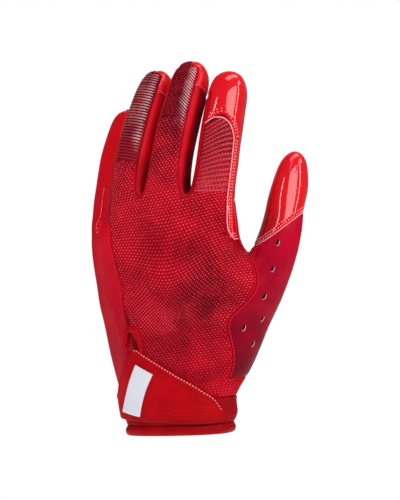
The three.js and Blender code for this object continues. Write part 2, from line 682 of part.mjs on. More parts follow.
// Way in which each point of a panel's edge moves to leave half a seam gap
function edgeShrink(skin, faces, normals, gap) {
  const shifts = new Map();
  edgeFaces(faces).forEach((edge) => {
    if (edge.faces.length !== 1) return;
    const { loop } = faces[edge.faces[0]];
    const [start, end] = edge.ends;
    const along = skin.points[end].clone().sub(skin.points[start]).normalize();
    edge.ends.forEach((id) => {
      const inward = new THREE.Vector3().crossVectors(faceNormal(skin.points, loop).normalize(), along);
      if (!shifts.has(id)) shifts.set(id, []);
      shifts.get(id).push(inward.normalize());
    });
  });
  const result = new Map();
  shifts.forEach((ways, id) => {
    const mean = average(ways);
    const sharpness = Math.max(mean.lengthSq(), SHARPEST_CORNER);
    const sink = Math.abs(mean.clone().normalize().dot(normals[id]));
    const spread = Math.max(Math.sqrt(1 - Math.min(sink, 1) ** 2), NARROWEST_TIP);
    result.set(id, mean.multiplyScalar(gap / sharpness / spread));
  });
  return result;
}

function meshGeometry(vertices, triangles) {
  const geometry = new THREE.BufferGeometry();
  const positions = vertices.flatMap((vertex) => vertex.toArray());
  geometry.setAttribute('position', new THREE.Float32BufferAttribute(positions, 3));
  geometry.setIndex(triangles.flat());
  return geometry;
}

function splitFace([a, b, c, d], vertices) {
  const first = vertices[a].distanceToSquared(vertices[c]);
  const second = vertices[b].distanceToSquared(vertices[d]);
  return first <= second ? [[a, b, c], [a, c, d]] : [[a, b, d], [b, c, d]];
}

// A panel as a closed shell: outer face, inner face a wall further in, and the edge between
function panelGeometry(skin, normals, panel, wall) {
  const faces = skin.faces.filter((face) => face.panel === panel);
  const shrink = edgeShrink(skin, faces, normals, SEAM_GAP / 2);
  const used = [...new Set(faces.flatMap((face) => face.loop))];
  const outerId = new Map(used.map((id, order) => [id, order]));
  const shifted = used.map((id) => skin.points[id].clone().add(shrink.get(id) ?? new THREE.Vector3()));
  const inner = used.map((id, order) => shifted[order].clone().addScaledVector(normals[id], -wall));
  const vertices = [...shifted, ...inner];
  const triangles = [];
  faces.forEach((face) => {
    const loop = face.loop.map((id) => outerId.get(id));
    splitFace(loop, vertices).forEach(([a, b, c]) => {
      triangles.push([a, b, c], [a + used.length, c + used.length, b + used.length]);
    });
  });
  edgeFaces(faces).forEach((edge) => {
    if (edge.faces.length !== 1) return;
    const [start, end] = edge.ends.map((id) => outerId.get(id));
    const [startInner, endInner] = [start + used.length, end + used.length];
    // Both panels at a seam split its twisted edge face along the same diagonal
    if (edge.ends[0] < edge.ends[1]) triangles.push([end, start, endInner], [start, startInner, endInner]);
    else triangles.push([end, start, startInner], [end, startInner, endInner]);
  });
  return meshGeometry(vertices, triangles);
}

// A patch of points, some rows by some columns, thickened along its own directions
function patchGeometry(grid, thickness) {
  const columns = grid[0].length;
  const flat = grid.flat();
  const vertices = [
    ...flat.map(({ point, normal }) => point.clone().addScaledVector(normal, thickness)),
    ...flat.map(({ point }) => point),
  ];
  const triangles = [];
  const rim = [];
  const id = (row, column) => row * columns + column;
  for (let row = 0; row + 1 < grid.length; row += 1) {
    for (let column = 0; column + 1 < columns; column += 1) {
      const loop = [id(row, column), id(row, column + 1), id(row + 1, column + 1), id(row + 1, column)];
      splitFace(loop, vertices).forEach(([a, b, c]) => {
        triangles.push([a, b, c], [a + flat.length, c + flat.length, b + flat.length]);
      });
    }
  }
  for (let column = 0; column < columns; column += 1) rim.push(id(0, column));
  for (let row = 1; row < grid.length; row += 1) rim.push(id(row, columns - 1));
  for (let column = columns - 2; column >= 0; column -= 1) rim.push(id(grid.length - 1, column));
  for (let row = grid.length - 2; row > 0; row -= 1) rim.push(id(row, 0));
  rim.forEach((start, order) => {
    const end = rim[(order + 1) % rim.length];
    triangles.push([end, start, start + flat.length], [end, start + flat.length, end + flat.length]);
  });
  return meshGeometry(vertices, triangles);
}

function raise(spot, height) {
  return { point: spot.point.clone().addScaledVector(spot.normal, height), normal: spot.normal };
}

function strapEdges(column) {
  const after = Math.max(1, STRAP_SECTIONS.findIndex((section) => section.column >= column));
  const [low, high] = [STRAP_SECTIONS[after - 1], STRAP_SECTIONS[after]];
  const share = (column - low.column) / (high.column - low.column);
  return {
    lower: THREE.MathUtils.lerp(low.lower, high.lower, share),
    upper: THREE.MathUtils.lerp(low.upper, high.upper, share),
  };
}

// Closure strap, laid on the hand from its root on the palm side to its round end
function strapGeometry(rows) {
  const first = STRAP_SECTIONS[0].column;
  const last = STRAP_SECTIONS[STRAP_SECTIONS.length - 1].column;
  const count = Math.round((last - first) / STRAP_STEP);
  const columns = Array.from({ length: count + 1 }, (_, step) => first + (step * (last - first)) / count);
  const grid = [];
  for (let strip = 0; strip <= STRAP_STRIPS; strip += 1) {
    grid.push(columns.map((column) => {
      const { lower, upper } = strapEdges(column);
      const height = heightAt(THREE.MathUtils.lerp(lower, upper, strip / STRAP_STRIPS));
      return raise(handSpot(rows, column, height), STRAP_CLEARANCE);
    }));
  }
  return patchGeometry(grid, STRAP_THICKNESS);
}

// White tab, laid on the strap
function tabGeometry(rows) {
  const { topOuter, topInner, lowOuter, lowInner } = TAB_CORNERS;
  const between = (first, second, share) => ({
    column: THREE.MathUtils.lerp(first.column, second.column, share),
    height: THREE.MathUtils.lerp(first.height, second.height, share),
  });
  const grid = [];
  for (let row = 0; row <= TAB_ROWS; row += 1) {
    const outer = between(lowOuter, topOuter, row / TAB_ROWS);
    const inner = between(lowInner, topInner, row / TAB_ROWS);
    grid.push(Array.from({ length: TAB_STRIPS + 1 }, (_, strip) => {
      const spot = between(outer, inner, strip / TAB_STRIPS);
      const seat = STRAP_CLEARANCE + STRAP_THICKNESS + TAB_CLEARANCE;
      return raise(handSpot(rows, spot.column, heightAt(spot.height)), seat);
    }));
  }
  return patchGeometry(grid, TAB_THICKNESS);
}

// Rolled hem: a flattened round section swept round the cuff's lower edge
function hemGeometry(rows) {
  const steps = RING_SIZE * HEM_STEPS;
  const flats = Math.cos(Math.PI / HEM_SIDES);
  const rounding = HEM_THICKNESS / 2 / flats;
  const lift = HEM_HEIGHT / 2 / flats;
  const vertices = [];
  const triangles = [];
  for (let step = 0; step < steps; step += 1) {
    const column = step / HEM_STEPS;
    const point = handSurface(rows, column, 0);
    const across = handSurface(rows, column + SAMPLE_STEP, 0).sub(handSurface(rows, column - SAMPLE_STEP, 0));
    const outward = new THREE.Vector3(across.y, -across.x, 0).normalize();
    for (let side = 0; side < HEM_SIDES; side += 1) {
      const angle = ((side + 0.5) / HEM_SIDES) * Math.PI * 2;
      const vertex = point.clone().addScaledVector(outward, Math.cos(angle) * rounding - CUFF_WALL / 2);
      vertex.z += Math.sin(angle) * lift - SKIN_BASE + HEM_HEIGHT / 2;
      vertices.push(vertex);
    }
  }
  for (let step = 0; step < steps; step += 1) {
    for (let side = 0; side < HEM_SIDES; side += 1) {
      const next = (step + 1) % steps;
      const other = (side + 1) % HEM_SIDES;
      const [a, b] = [step * HEM_SIDES + side, next * HEM_SIDES + side];
      const [c, d] = [next * HEM_SIDES + other, step * HEM_SIDES + other];
      triangles.push([a, b, c], [a, c, d]);
    }
  }
  return meshGeometry(vertices, triangles);
}

function toSolid(geometry) {
  const bare = geometry.clone();
  bare.deleteAttribute('normal');
  bare.deleteAttribute('uv');
  const merged = mergeVertices(bare, MERGE_DISTANCE);
  const vertProperties = new Float32Array(merged.attributes.position.array);
  const triVerts = new Uint32Array(merged.index.array);
  return new wasm.Manifold(new wasm.Mesh({ numProp: 3, vertProperties, triVerts }));
}

function fromSolid(solid) {
  const mesh = solid.getMesh();
  const geometry = new THREE.BufferGeometry();
  geometry.setAttribute('position', new THREE.BufferAttribute(new Float32Array(mesh.vertProperties), 3));
  geometry.setIndex(new THREE.BufferAttribute(new Uint32Array(mesh.triVerts), 1));
  return geometry;
}

// An oval prism that goes through the wall at one hole
function holeGeometry(skin, normals, rows, hole) {
  const target = ventSpot(rows, hole);
  let nearest = 0;
  skin.points.forEach((point, id) => {
    if (point.distanceToSquared(target) < skin.points[nearest].distanceToSquared(target)) nearest = id;
  });
  const normal = normals[nearest];
  const outline = new THREE.Shape();
  const [halfWidth, halfLength] = [VENT_HOLE_WIDTH / 2, VENT_HOLE_LENGTH / 2];
  outline.absellipse(0, 0, halfWidth, halfLength, 0, Math.PI * 2, false, radians(HOLE_LEAN));
  const depth = VENT_WALL * HOLE_REACH;
  const curveSegments = HOLE_SIDES / 2;
  const prism = new THREE.ExtrudeGeometry(outline, { depth, bevelEnabled: false, curveSegments });
  prism.translate(0, 0, -depth / 2);
  const upright = new THREE.Vector3(0, 0, 1).addScaledVector(normal, -normal.z).normalize();
  const across = new THREE.Vector3().crossVectors(upright, normal);
  prism.applyMatrix4(new THREE.Matrix4().makeBasis(across, upright, normal).setPosition(target));
  return prism;
}

// Place of a hole on the punched panel; above the web it follows the thumb's rings
function ventSpot(rows, hole) {
  const height = heightAt(hole.height);
  const top = HAND_RINGS.length - 3;
  const highest = handSurface(rows, hole.column, top);
  if (height <= highest.z) return handSpot(rows, hole.column, height).point;
  const corner = hole.column - VENT_SEAM;
  const ring = thumbPoints(THUMB_RINGS[0]);
  const [low, high] = [Math.floor(corner), Math.ceil(corner)];
  const target = ring[low].clone().lerp(ring[high], corner - low);
  return highest.clone().lerp(target, (height - highest.z) / (target.z - highest.z));
}

function ventGeometry(skin, normals, rows) {
  const shell = panelGeometry(skin, normals, 'vent_panel', VENT_WALL);
  const cut = VENT_HOLES.reduce(
    (solid, hole) => solid.subtract(toSolid(holeGeometry(skin, normals, rows, hole))),
    toSolid(shell),
  );
  return fromSolid(cut);
}

function namedMesh(name, geometry, { colour, roughness }) {
  const material = new THREE.MeshStandardMaterial({ color: colour, roughness, metalness: 0 });
  const mesh = new THREE.Mesh(geometry, material);
  mesh.name = name;
  return mesh;
}

// The whole glove, hung so that the wrist opening's middle is the origin
function makeGlove() {
  const { cage, rows } = makeGloveCage();
  const skin = addPuckers(settle(smooth(cage)), rows, PUCKERS);
  const normals = pointNormals(skin);
  const glove = new THREE.Group();
  const parts = new THREE.Group();
  Object.entries(PANELS).forEach(([name, finish]) => {
    const geometry = name === 'vent_panel'
      ? ventGeometry(skin, normals, rows)
      : panelGeometry(skin, normals, name, finish.wall);
    parts.add(namedMesh(name, geometry, finish));
  });
  parts.add(namedMesh('cuff_hem', hemGeometry(rows), HEM_FINISH));
  parts.add(namedMesh('closure_strap', strapGeometry(rows), STRAP_FINISH));
  parts.add(namedMesh('strap_tab', tabGeometry(rows), TAB_FINISH));
  const [opening] = HAND_RINGS;
  const middle = place((opening.outerX + opening.innerX) / 2, (opening.outerY + opening.innerY) / 2, 0);
  parts.position.set(-middle.x, -middle.y, 0);
  glove.add(parts);
  return glove;
}

export default makeGlove();
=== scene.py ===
"""Football receiver glove for the left hand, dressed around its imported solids.

The skin is one cage of four-sided faces, smoothed, with a panel's name on each face. Panels, seams,
stitches, knit grains, cuff, strap and tab are all laid on that skin. Sizes are millimetres until a
mesh is made, which is in metres in the frame of the solids.
"""

from __future__ import annotations

import logging
import math
from dataclasses import dataclass, field
from enum import Enum
from typing import Any, Iterable, Sequence

import bmesh
import bpy
import numpy as np
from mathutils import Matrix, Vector, noise
from mathutils.bvhtree import BVHTree
from mathutils.kdtree import KDTree

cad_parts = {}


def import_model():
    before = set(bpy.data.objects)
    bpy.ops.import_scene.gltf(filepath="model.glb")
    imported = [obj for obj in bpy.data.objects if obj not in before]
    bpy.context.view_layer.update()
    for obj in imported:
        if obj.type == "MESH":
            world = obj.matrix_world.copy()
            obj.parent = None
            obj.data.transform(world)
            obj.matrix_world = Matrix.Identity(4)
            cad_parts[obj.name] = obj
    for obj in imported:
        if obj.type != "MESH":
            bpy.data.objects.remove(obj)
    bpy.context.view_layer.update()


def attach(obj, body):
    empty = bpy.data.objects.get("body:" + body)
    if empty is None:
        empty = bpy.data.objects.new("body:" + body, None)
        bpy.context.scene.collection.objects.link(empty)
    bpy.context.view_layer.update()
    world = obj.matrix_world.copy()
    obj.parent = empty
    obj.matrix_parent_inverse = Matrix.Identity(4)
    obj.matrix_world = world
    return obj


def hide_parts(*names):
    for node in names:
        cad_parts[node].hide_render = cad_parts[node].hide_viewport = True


LOG = logging.getLogger("glove")
MM = 0.001
BODY = "root"
Array = np.ndarray


class Panel(Enum):
    """Panels of the skin, in the order of their tags."""

    CUFF = "cuff_band"
    OUTER_SIDE = "outer_side_panel"
    BACK = "back_panel"
    VENT = "vent_panel"
    PALM = "palm_panel"
    INDEX_GRIP = "index_grip"
    THUMB_GRIP = "thumb_grip"
    LITTLE_RING = "fourchette_little_ring"
    RING_MIDDLE = "fourchette_ring_middle"
    MIDDLE_INDEX = "fourchette_middle_index"


TAGS = {panel: tag for tag, panel in enumerate(Panel)}
FOURCHETTES = (Panel.LITTLE_RING, Panel.RING_MIDDLE, Panel.MIDDLE_INDEX)


@dataclass(frozen=True)
class HandRing:
    """One ring of the hand, in shares of the hand's sizes."""

    height: float
    outer_x: float
    outer_y: float
    inner_x: float
    inner_y: float
    back: float
    palm: float
    slope: float = 0.0
    swing: float = 0.0
    edge: float = 0.0


HAND_RINGS = (
    HandRing(0.000, -0.350, 0.00, 0.410, 0.03, 0.70, 0.75, 0.040),
    HandRing(0.044, -0.380, 0.00, 0.448, 0.05, 0.73, 0.77, 0.036),
    HandRing(0.112, -0.396, 0.00, 0.405, 0.07, 0.70, 0.75, 0.020, 0.02),
    HandRing(0.205, -0.450, 0.00, 0.497, 0.13, 0.74, 0.77, 0.0, 0.06),
    HandRing(0.298, -0.495, 0.02, 0.560, 0.22, 0.77, 0.67, 0.0, 0.03, 0.03),
    HandRing(0.384, -0.540, 0.04, 0.620, 0.30, 0.77, 0.57, 0.0, -0.05, 0.06),
    HandRing(0.455, -0.568, 0.06, 0.666, 0.37, 0.78, 0.48, 0.0, -0.11, 0.036),
    HandRing(0.520, -0.596, 0.08, 0.712, 0.40, 0.80, 0.42, 0.0, -0.03, 0.027),
    HandRing(0.598, -0.624, 0.10, 0.762, 0.43, 0.80, 0.37, 0.0, 0.02, 0.033),
    HandRing(0.749, -0.668, 0.13, 0.858, 0.47, 0.83, 0.30, 0.0, -0.03, -0.026),
)
UPPER_RINGS = (
    HandRing(0.806, -0.665, 0.15, 0.445, 0.22, 0.76, 0.32),
    HandRing(0.871, -0.680, 0.17, 0.455, 0.13, 0.70, 0.30),
)

# Columns round the hand: share of its breadth, and how much each takes of the outer side panel's
# swing and of the punched panel's
BACK_COLUMNS = (
    (0.037, 0.2, 0.0), (0.103, 0.6, 0.0), (0.186, 1.0, 0.0), (0.280, 0.5, 0.0), (0.420, 0.15, 0.0),
    (0.555, 0.0, 0.0), (0.690, 0.0, 0.2), (0.806, 0.0, 0.55), (0.900, 0.0, 1.0), (0.955, 0.0, 0.55),
    (0.985, 0.0, 0.2),
)
PALM_COLUMNS = (0.970, 0.900, 0.820, 0.720, 0.620, 0.520, 0.420, 0.320, 0.220, 0.130, 0.050)
UPPER_STATIONS = (0.045, 0.12, 0.22, 0.32, 0.46, 0.60, 0.74, 0.865, 0.965)

OUTER_SEAM = 2
VENT_SEAM = 8
THUMB_EDGE = 12
THUMB_ONLY_COLUMNS = 5
RING_SIZE = len(BACK_COLUMNS) + len(PALM_COLUMNS) + 2
OUTER_PALM_SEAM = RING_SIZE - 2
UPPER_OUTER_PALM_SEAM = OUTER_PALM_SEAM - THUMB_ONLY_COLUMNS + 1
CUFF_ROW = 2
VENT_ROW = 3
ARCH_ROW = 3


@dataclass(frozen=True)
class Finger:
    """A finger: its root in shares of the hand's sizes, its own sizes in mm, its turns in degrees."""

    name: str
    across: float
    inward: float
    height: float
    length: float
    width: float
    depth: float
    roll: float
    lean: float
    curl_start: float
    curl_end: float


LITTLE = Finger("little", -0.535, 0.20, 0.895, 79, 21.5, 20.5, -22, 1, 6, 42)
RING = Finger("ring", -0.310, -0.27, 0.971, 91.5, 23.5, 22.5, -10, 6.2, 3, 39)
MIDDLE = Finger("middle", -0.025, -0.27, 1.000, 90, 24.5, 23, 0, 6.8, 1, 32)
INDEX = Finger("index", 0.272, 0.03, 0.985, 83, 24.5, 23, 10, 5.0, 0, 22)
FINGERS = (LITTLE, RING, MIDDLE, INDEX)
FINGER_WEBS = (0.911, 1.005, 1.000)
WEB_DROP = 0.035


@dataclass(frozen=True)
class FingerRing:
    """A ring along a finger, and the bows of the index finger's arch seam, as shares."""

    along: float
    size: float = 1.0
    outer_bow: float = 0.0
    ridge_bow: float = 0.0
    inner_bow: float = 0.0


FINGER_RINGS = (
    FingerRing(0.12),
    FingerRing(0.32, 1.00, 0.0, 0.05, -0.07),
    FingerRing(0.53, 0.99, -0.09, 0.16, -0.20),
    FingerRing(0.73, 0.96, 0.0, 0.09, -0.08),
    FingerRing(0.90, 0.84),
)

# Section corners of a finger in degrees from its thumb side, palm side positive
CORNERS = {
    "back_outer": -135, "back": -90, "back_inner": -45, "inner": 0,
    "palm_inner": 45, "palm": 90, "palm_outer": 135, "outer": 180,
}
CORNER_NAMES = tuple(CORNERS)
INDEX_CORNERS = {**CORNERS, "back": -82, "back_inner": -26, "inner": 14, "palm_inner": 52}


@dataclass(frozen=True)
class ThumbRing:
    """A ring of the thumb: its place and size as shares, and the tilt that lifts one side."""

    along: float
    across: float
    inward: float
    size: float
    tilt: float


THUMB_RINGS = (
    ThumbRing(0.24, 0.676, 0.55, 1.08, 42),
    ThumbRing(0.46, 0.718, 0.66, 0.92, 24),
    ThumbRing(0.67, 0.735, 0.73, 0.80, 8),
    ThumbRing(0.86, 0.758, 0.77, 0.56, 0),
)
THUMB_TIP = (0.99, 0.770, 0.78)
THUMB_TILT_TOWARDS = 25

# Corners of the web between thumb and hand: across, inward and height shares
BACK_WEB = (0.545, 0.05, 0.705)
MIDDLE_WEB = (0.410, 0.30, 0.728)
PALM_WEB = (0.500, 0.80, 0.690)


@dataclass(frozen=True)
class Pucker:
    """A short ridge or hollow beside the strap, at a column and height of the hand."""

    column: float
    height: float
    length: float
    width: float
    rise: float
    turn: float


PUCKERS = (
    Pucker(2.75, 0.424, 0.28, 0.11, 0.75, 8),
    Pucker(2.1, 0.424, 0.28, 0.10, -0.85, 12),
    Pucker(1.5, 0.414, 0.32, 0.12, 0.45, 14),
)


@dataclass(frozen=True)
class GloveSize:
    """Driving sizes of the glove in mm, the same as in its solids."""

    palm_length: float = 146.0
    knuckle_breadth: float = 90.0
    hand_depth: float = 30.0
    thumb_length: float = 69.0
    thumb_width: float = 28.0
    web_rounding: float = 3.5
    seam_gap: float = 0.36
    hem_height: float = 6.3
    hem_thickness: float = 3.8
    hand_squareness: float = 2.4
    finger_squareness: float = 4.0
    finger_swell: float = 1.06
    thumb_squareness: float = 2.2
    thumb_swell: float = 1.1

    @property
    def skin_base(self) -> float:
        """Height of the skin's open edge above the hem's foot."""
        return self.hem_height + self.seam_gap / 2

    @property
    def skin_length(self) -> float:
        """Height from the skin's open edge to the middle finger's root."""
        return self.palm_length - self.skin_base


def unit(vectors: Array) -> Array:
    """Vectors at length one."""
    return vectors / np.maximum(np.linalg.norm(vectors, axis=-1, keepdims=True), 1e-12)


def turned(vector: Array, axis: Array, degrees: float) -> Array:
    """A vector turned about an axis.

    Args:
        vector: The vector to turn.
        axis: Axis of length one.
        degrees: Angle by the right-hand rule.

    Returns:
        The turned vector.
    """
    angle = math.radians(degrees)
    across = np.cross(axis, vector)
    along = axis * np.dot(axis, vector)
    return vector * math.cos(angle) + across * math.sin(angle) + along * (1 - math.cos(angle))


def ramp(values: Array | float, start: float, end: float) -> Array:
    """Share that grows from 0 at the start to 1 at the end."""
    return np.clip((values - start) / (end - start), 0, 1)


def mound(*terms: tuple[Array, float, float]) -> Array:
    """A soft mound of height 1, from a value, its middle and its width in each direction."""
    return np.exp(-sum(((value - middle) / width) ** 2 for value, middle, width in terms))


def blotches(points: Array, size: float = 15.0) -> Array:
    """Soft noise at points, seen from the back of the hand, in blotches of a size in mm."""
    return np.array([noise.noise(Vector((x / size, z / size, 0.0))) for x, _, z in points])


@dataclass
class Frame:
    """A place with two directions: towards the thumb and towards the palm."""

    origin: Array
    thumbward: Array
    palmward: Array


@dataclass
class GloveCage:
    """The cage of the whole skin: points, four-sided faces and their panels."""

    size: GloveSize = field(default_factory=GloveSize)
    points: list[Array] = field(default_factory=list)
    faces: list[tuple[int, ...]] = field(default_factory=list)
    tags: list[int] = field(default_factory=list)

    def __post_init__(self) -> None:
        """Lays out the hand, the fingers and the thumb."""
        self.rows = [self.hand_ring(ring) for ring in HAND_RINGS]
        split = self.rows[-1]
        palm_web = VENT_SEAM + THUMB_ONLY_COLUMNS + 1
        split[VENT_SEAM] = self.place(*BACK_WEB)
        split[palm_web] = self.place(*PALM_WEB)
        lattice = [[self.add_point(point) for point in points] for points in self.rows]
        for row in range(len(lattice) - 1):
            panels = [self.hand_panel(row, column) for column in range(RING_SIZE)]
            self.join(lattice[row], lattice[row + 1], panels)
        web = self.add_point(self.place(*MIDDLE_WEB))
        top = lattice[-1]
        root = [*top[:VENT_SEAM + 1], web, *top[palm_web:]]
        upper = [[self.add_point(point) for point in self.upper_ring(ring)] for ring in UPPER_RINGS]
        roots = self.finger_roots()
        steps = [root, *upper, self.around(roots)]
        for row in range(len(steps) - 1):
            panels = [self.upper_panel(row, column) for column in range(len(root))]
            self.join(steps[row], steps[row + 1], panels)
        for finger, ring in zip(FINGERS, roots):
            rings = [self.finger_ring(finger, shape) for shape in FINGER_RINGS]
            panels = [[self.finger_panel(finger, row, name) for name in CORNER_NAMES]
                      for row in range(len(rings) + 1)]
            self.tube(ring, rings, self.finger_frame(finger, 1.0).origin, panels)
        thumb_root = [*top[VENT_SEAM:palm_web + 1], web]
        along, across, inward = THUMB_TIP
        tip = self.place(across, inward, 0)
        tip[2] = self.height(MIDDLE_WEB[2]) + along * self.size.thumb_length
        rings = [self.thumb_ring(shape) for shape in THUMB_RINGS]
        panels = [[self.thumb_panel(row, name) for name in CORNER_NAMES] for row in range(len(rings) + 1)]
        self.tube(thumb_root, rings, tip, panels)

    def height(self, share: float) -> float:
        """Height of a share of the skin's length."""
        return self.size.skin_base + share * self.size.skin_length

    def place(self, across: float, inward: float, height: float) -> Array:
        """A point from shares of breadth, depth and skin length."""
        breadth, depth = self.size.knuckle_breadth, self.size.hand_depth
        return np.array([across * breadth, inward * depth, self.height(height)])

    def add_point(self, point: Array) -> int:
        """Adds a point and gives its number."""
        self.points.append(point)
        return len(self.points) - 1

    def join(self, below: Sequence[int], above: Sequence[int], panels: Sequence[Panel]) -> None:
        """Joins two rings of points with faces.

        Args:
            below: Numbers of the lower ring's points.
            above: Numbers of the upper ring's points.
            panels: Panel of the face after each point.
        """
        for column, panel in enumerate(panels):
            after = (column + 1) % len(below)
            self.faces.append((below[column], below[after], above[after], above[column]))
            self.tags.append(TAGS[panel])

    def tube(self, root: Sequence[int], rings: Sequence[Sequence[Array]], tip: Array,
             panels: Sequence[Sequence[Panel]]) -> None:
        """Adds a finger: a tube of rings closed by four faces.

        Args:
            root: Numbers of the root ring's points.
            rings: Points of each further ring.
            tip: Middle point of the end.
            panels: Panels by row and corner, the end's row last.
        """
        below = list(root)
        for row, points in enumerate(rings):
            above = [self.add_point(point) for point in points]
            self.join(below, above, panels[row])
            below = above
        middle = self.add_point(tip)
        for corner in range(0, len(below), 2):
            self.faces.append((below[corner], below[corner + 1], middle, below[corner - 1]))
            self.tags.append(TAGS[panels[-1][corner]])

    def ring_point(self, ring: HandRing, station: float, side: int) -> Array:
        """A point on the back (side -1) or palm (side 1) of a hand ring."""
        power = self.size.hand_squareness
        bulge = max(0.0, 1 - abs(2 * station - 1) ** power) ** (1 / power)
        depth = ring.back if side < 0 else ring.palm
        across = ring.outer_x + (ring.inner_x - ring.outer_x) * station
        inward = ring.outer_y + (ring.inner_y - ring.outer_y) * station + side * depth * bulge
        point = self.place(across, inward, ring.height)
        point[2] += ring.slope * self.size.knuckle_breadth * (station - 0.5)
        return point

    def hand_ring(self, ring: HandRing) -> list[Array]:
        """Points of a full hand ring, from the outer back column round the thumb side."""
        back = [self.ring_point(ring, station + edge * ring.edge + swing * ring.swing, -1)
                for station, edge, swing in BACK_COLUMNS]
        palm = [self.ring_point(ring, station, 1) for station in PALM_COLUMNS]
        return [*back, self.ring_point(ring, 1, -1), *palm, self.ring_point(ring, 0, -1)]

    def upper_ring(self, ring: HandRing) -> list[Array]:
        """Points of the ring above the thumb."""
        back = [self.ring_point(ring, station, -1) for station in UPPER_STATIONS]
        palm = [self.ring_point(ring, station, 1) for station in reversed(UPPER_STATIONS)]
        return [*back, self.ring_point(ring, 1, -1), *palm, self.ring_point(ring, 0, -1)]

    @staticmethod
    def hand_panel(row: int, column: int) -> Panel:
        """Panel of a hand face above a row, after a column."""
        if row < CUFF_ROW:
            return Panel.CUFF
        if column < OUTER_SEAM or column >= OUTER_PALM_SEAM:
            return Panel.OUTER_SIDE
        if column < VENT_SEAM:
            return Panel.BACK
        if column < THUMB_EDGE:
            return Panel.BACK if row < VENT_ROW else Panel.VENT
        return Panel.PALM

    @staticmethod
    def upper_panel(row: int, column: int) -> Panel:
        """Panel of a face between the thumb's web and the finger roots."""
        if column == VENT_SEAM:
            return Panel.BACK if row == 0 else Panel.INDEX_GRIP
        if column < OUTER_SEAM or column >= UPPER_OUTER_PALM_SEAM:
            return Panel.OUTER_SIDE
        return Panel.BACK if column < VENT_SEAM else Panel.PALM

    @staticmethod
    def finger_panel(finger: Finger, row: int, corner: str) -> Panel:
        """Panel of a finger face above a row, after a corner."""
        gap = FINGERS.index(finger)
        near_tip = row >= len(FINGER_RINGS) - 1
        palm_side = corner in ("palm_inner", "palm")
        inner_side = corner in ("back_inner", "inner")
        outer_side = corner in ("palm_outer", "outer")
        if finger is INDEX:
            if row < ARCH_ROW and corner in ("back_outer", "back"):
                return Panel.BACK
            return Panel.MIDDLE_INDEX if outer_side and not near_tip else Panel.INDEX_GRIP
        if palm_side:
            return Panel.PALM
        if inner_side:
            return Panel.PALM if near_tip else FOURCHETTES[gap]
        if finger is LITTLE:
            return Panel.OUTER_SIDE
        if outer_side:
            return Panel.PALM if near_tip else FOURCHETTES[gap - 1]
        return Panel.BACK

    @staticmethod
    def thumb_panel(row: int, corner: str) -> Panel:
        """Panel of a thumb face above a row, after a corner."""
        if row > 0:
            return Panel.THUMB_GRIP
        if corner == "outer":
            return Panel.BACK
        return Panel.PALM if corner in ("palm_inner", "palm", "palm_outer") else Panel.VENT

    def finger_frame(self, finger: Finger, along: float) -> Frame:
        """Place and directions at a share of a finger's curled centre line."""
        steps = 24
        point = self.place(finger.across, finger.inward, finger.height)
        lean = math.radians(finger.lean)
        direction = np.zeros(3)
        for step in range(steps + 1):
            share = along * step / steps
            curl = math.radians(finger.curl_start + (finger.curl_end - finger.curl_start) * share)
            direction = np.array([
                math.sin(lean), math.sin(curl) * math.cos(lean), math.cos(curl) * math.cos(lean),
            ])
            if step < steps:
                point = point + direction * finger.length * along / steps
        thumbward = unit(np.array([1.0, 0.0, 0.0]) - direction * direction[0])
        thumbward = turned(thumbward, direction, finger.roll)
        return Frame(point, thumbward, np.cross(direction, thumbward))

    @staticmethod
    def section_point(frame: Frame, degrees: float, half_width: float, half_depth: float,
                      squareness: float) -> Array:
        """A point round a section, on a squared circle."""
        cosine, sine = math.cos(math.radians(degrees)), math.sin(math.radians(degrees))
        across = math.copysign(abs(cosine) ** (2 / squareness), cosine) * half_width
        inward = math.copysign(abs(sine) ** (2 / squareness), sine) * half_depth
        return frame.origin + frame.thumbward * across + frame.palmward * inward

    def finger_ring(self, finger: Finger, ring: FingerRing) -> list[Array]:
        """The eight corner points of a finger's ring."""
        corners = INDEX_CORNERS if finger is INDEX else CORNERS
        bows = {"back_outer": ring.outer_bow, "back": ring.ridge_bow, "back_inner": ring.inner_bow}
        half = ring.size * self.size.finger_swell / 2
        points = []
        for name in CORNER_NAMES:
            bow = bows.get(name, 0.0) if finger is INDEX else 0.0
            frame = self.finger_frame(finger, ring.along + bow)
            points.append(self.section_point(frame, corners[name], finger.width * half, finger.depth * half,
                                             self.size.finger_squareness))
        return points

    def finger_roots(self) -> list[list[int]]:
        """Root rings of the four fingers, which share the corners of their webs."""
        loose = [self.finger_ring(finger, FingerRing(0.0)) for finger in FINGERS]
        rings: list[list[int | None]] = [[None] * len(CORNER_NAMES) for _ in FINGERS]
        rounding = self.size.web_rounding / self.size.skin_length
        for gap, web in enumerate(FINGER_WEBS):
            left, right = loose[gap], loose[gap + 1]
            for (first, second, drop) in ((2, 0, WEB_DROP), (3, 7, rounding), (4, 6, WEB_DROP)):
                point = (left[first] + right[second]) / 2
                point[2] = self.height(web - drop)
                number = self.add_point(point)
                rings[gap][first] = number
                rings[gap + 1][second] = number
        return [[self.add_point(loose[finger][corner]) if number is None else number
                 for corner, number in enumerate(ring)] for finger, ring in enumerate(rings)]

    @staticmethod
    def around(roots: Sequence[Sequence[int]]) -> list[int]:
        """One ring round all four finger roots."""
        little, ring, middle, index = roots
        back = [*little[:3], ring[1], ring[2], middle[1], middle[2], index[1], index[2]]
        palm = [index[4], index[5], middle[4], middle[5], ring[4], ring[5], *little[4:7]]
        return [*back, index[3], *palm, little[7]]

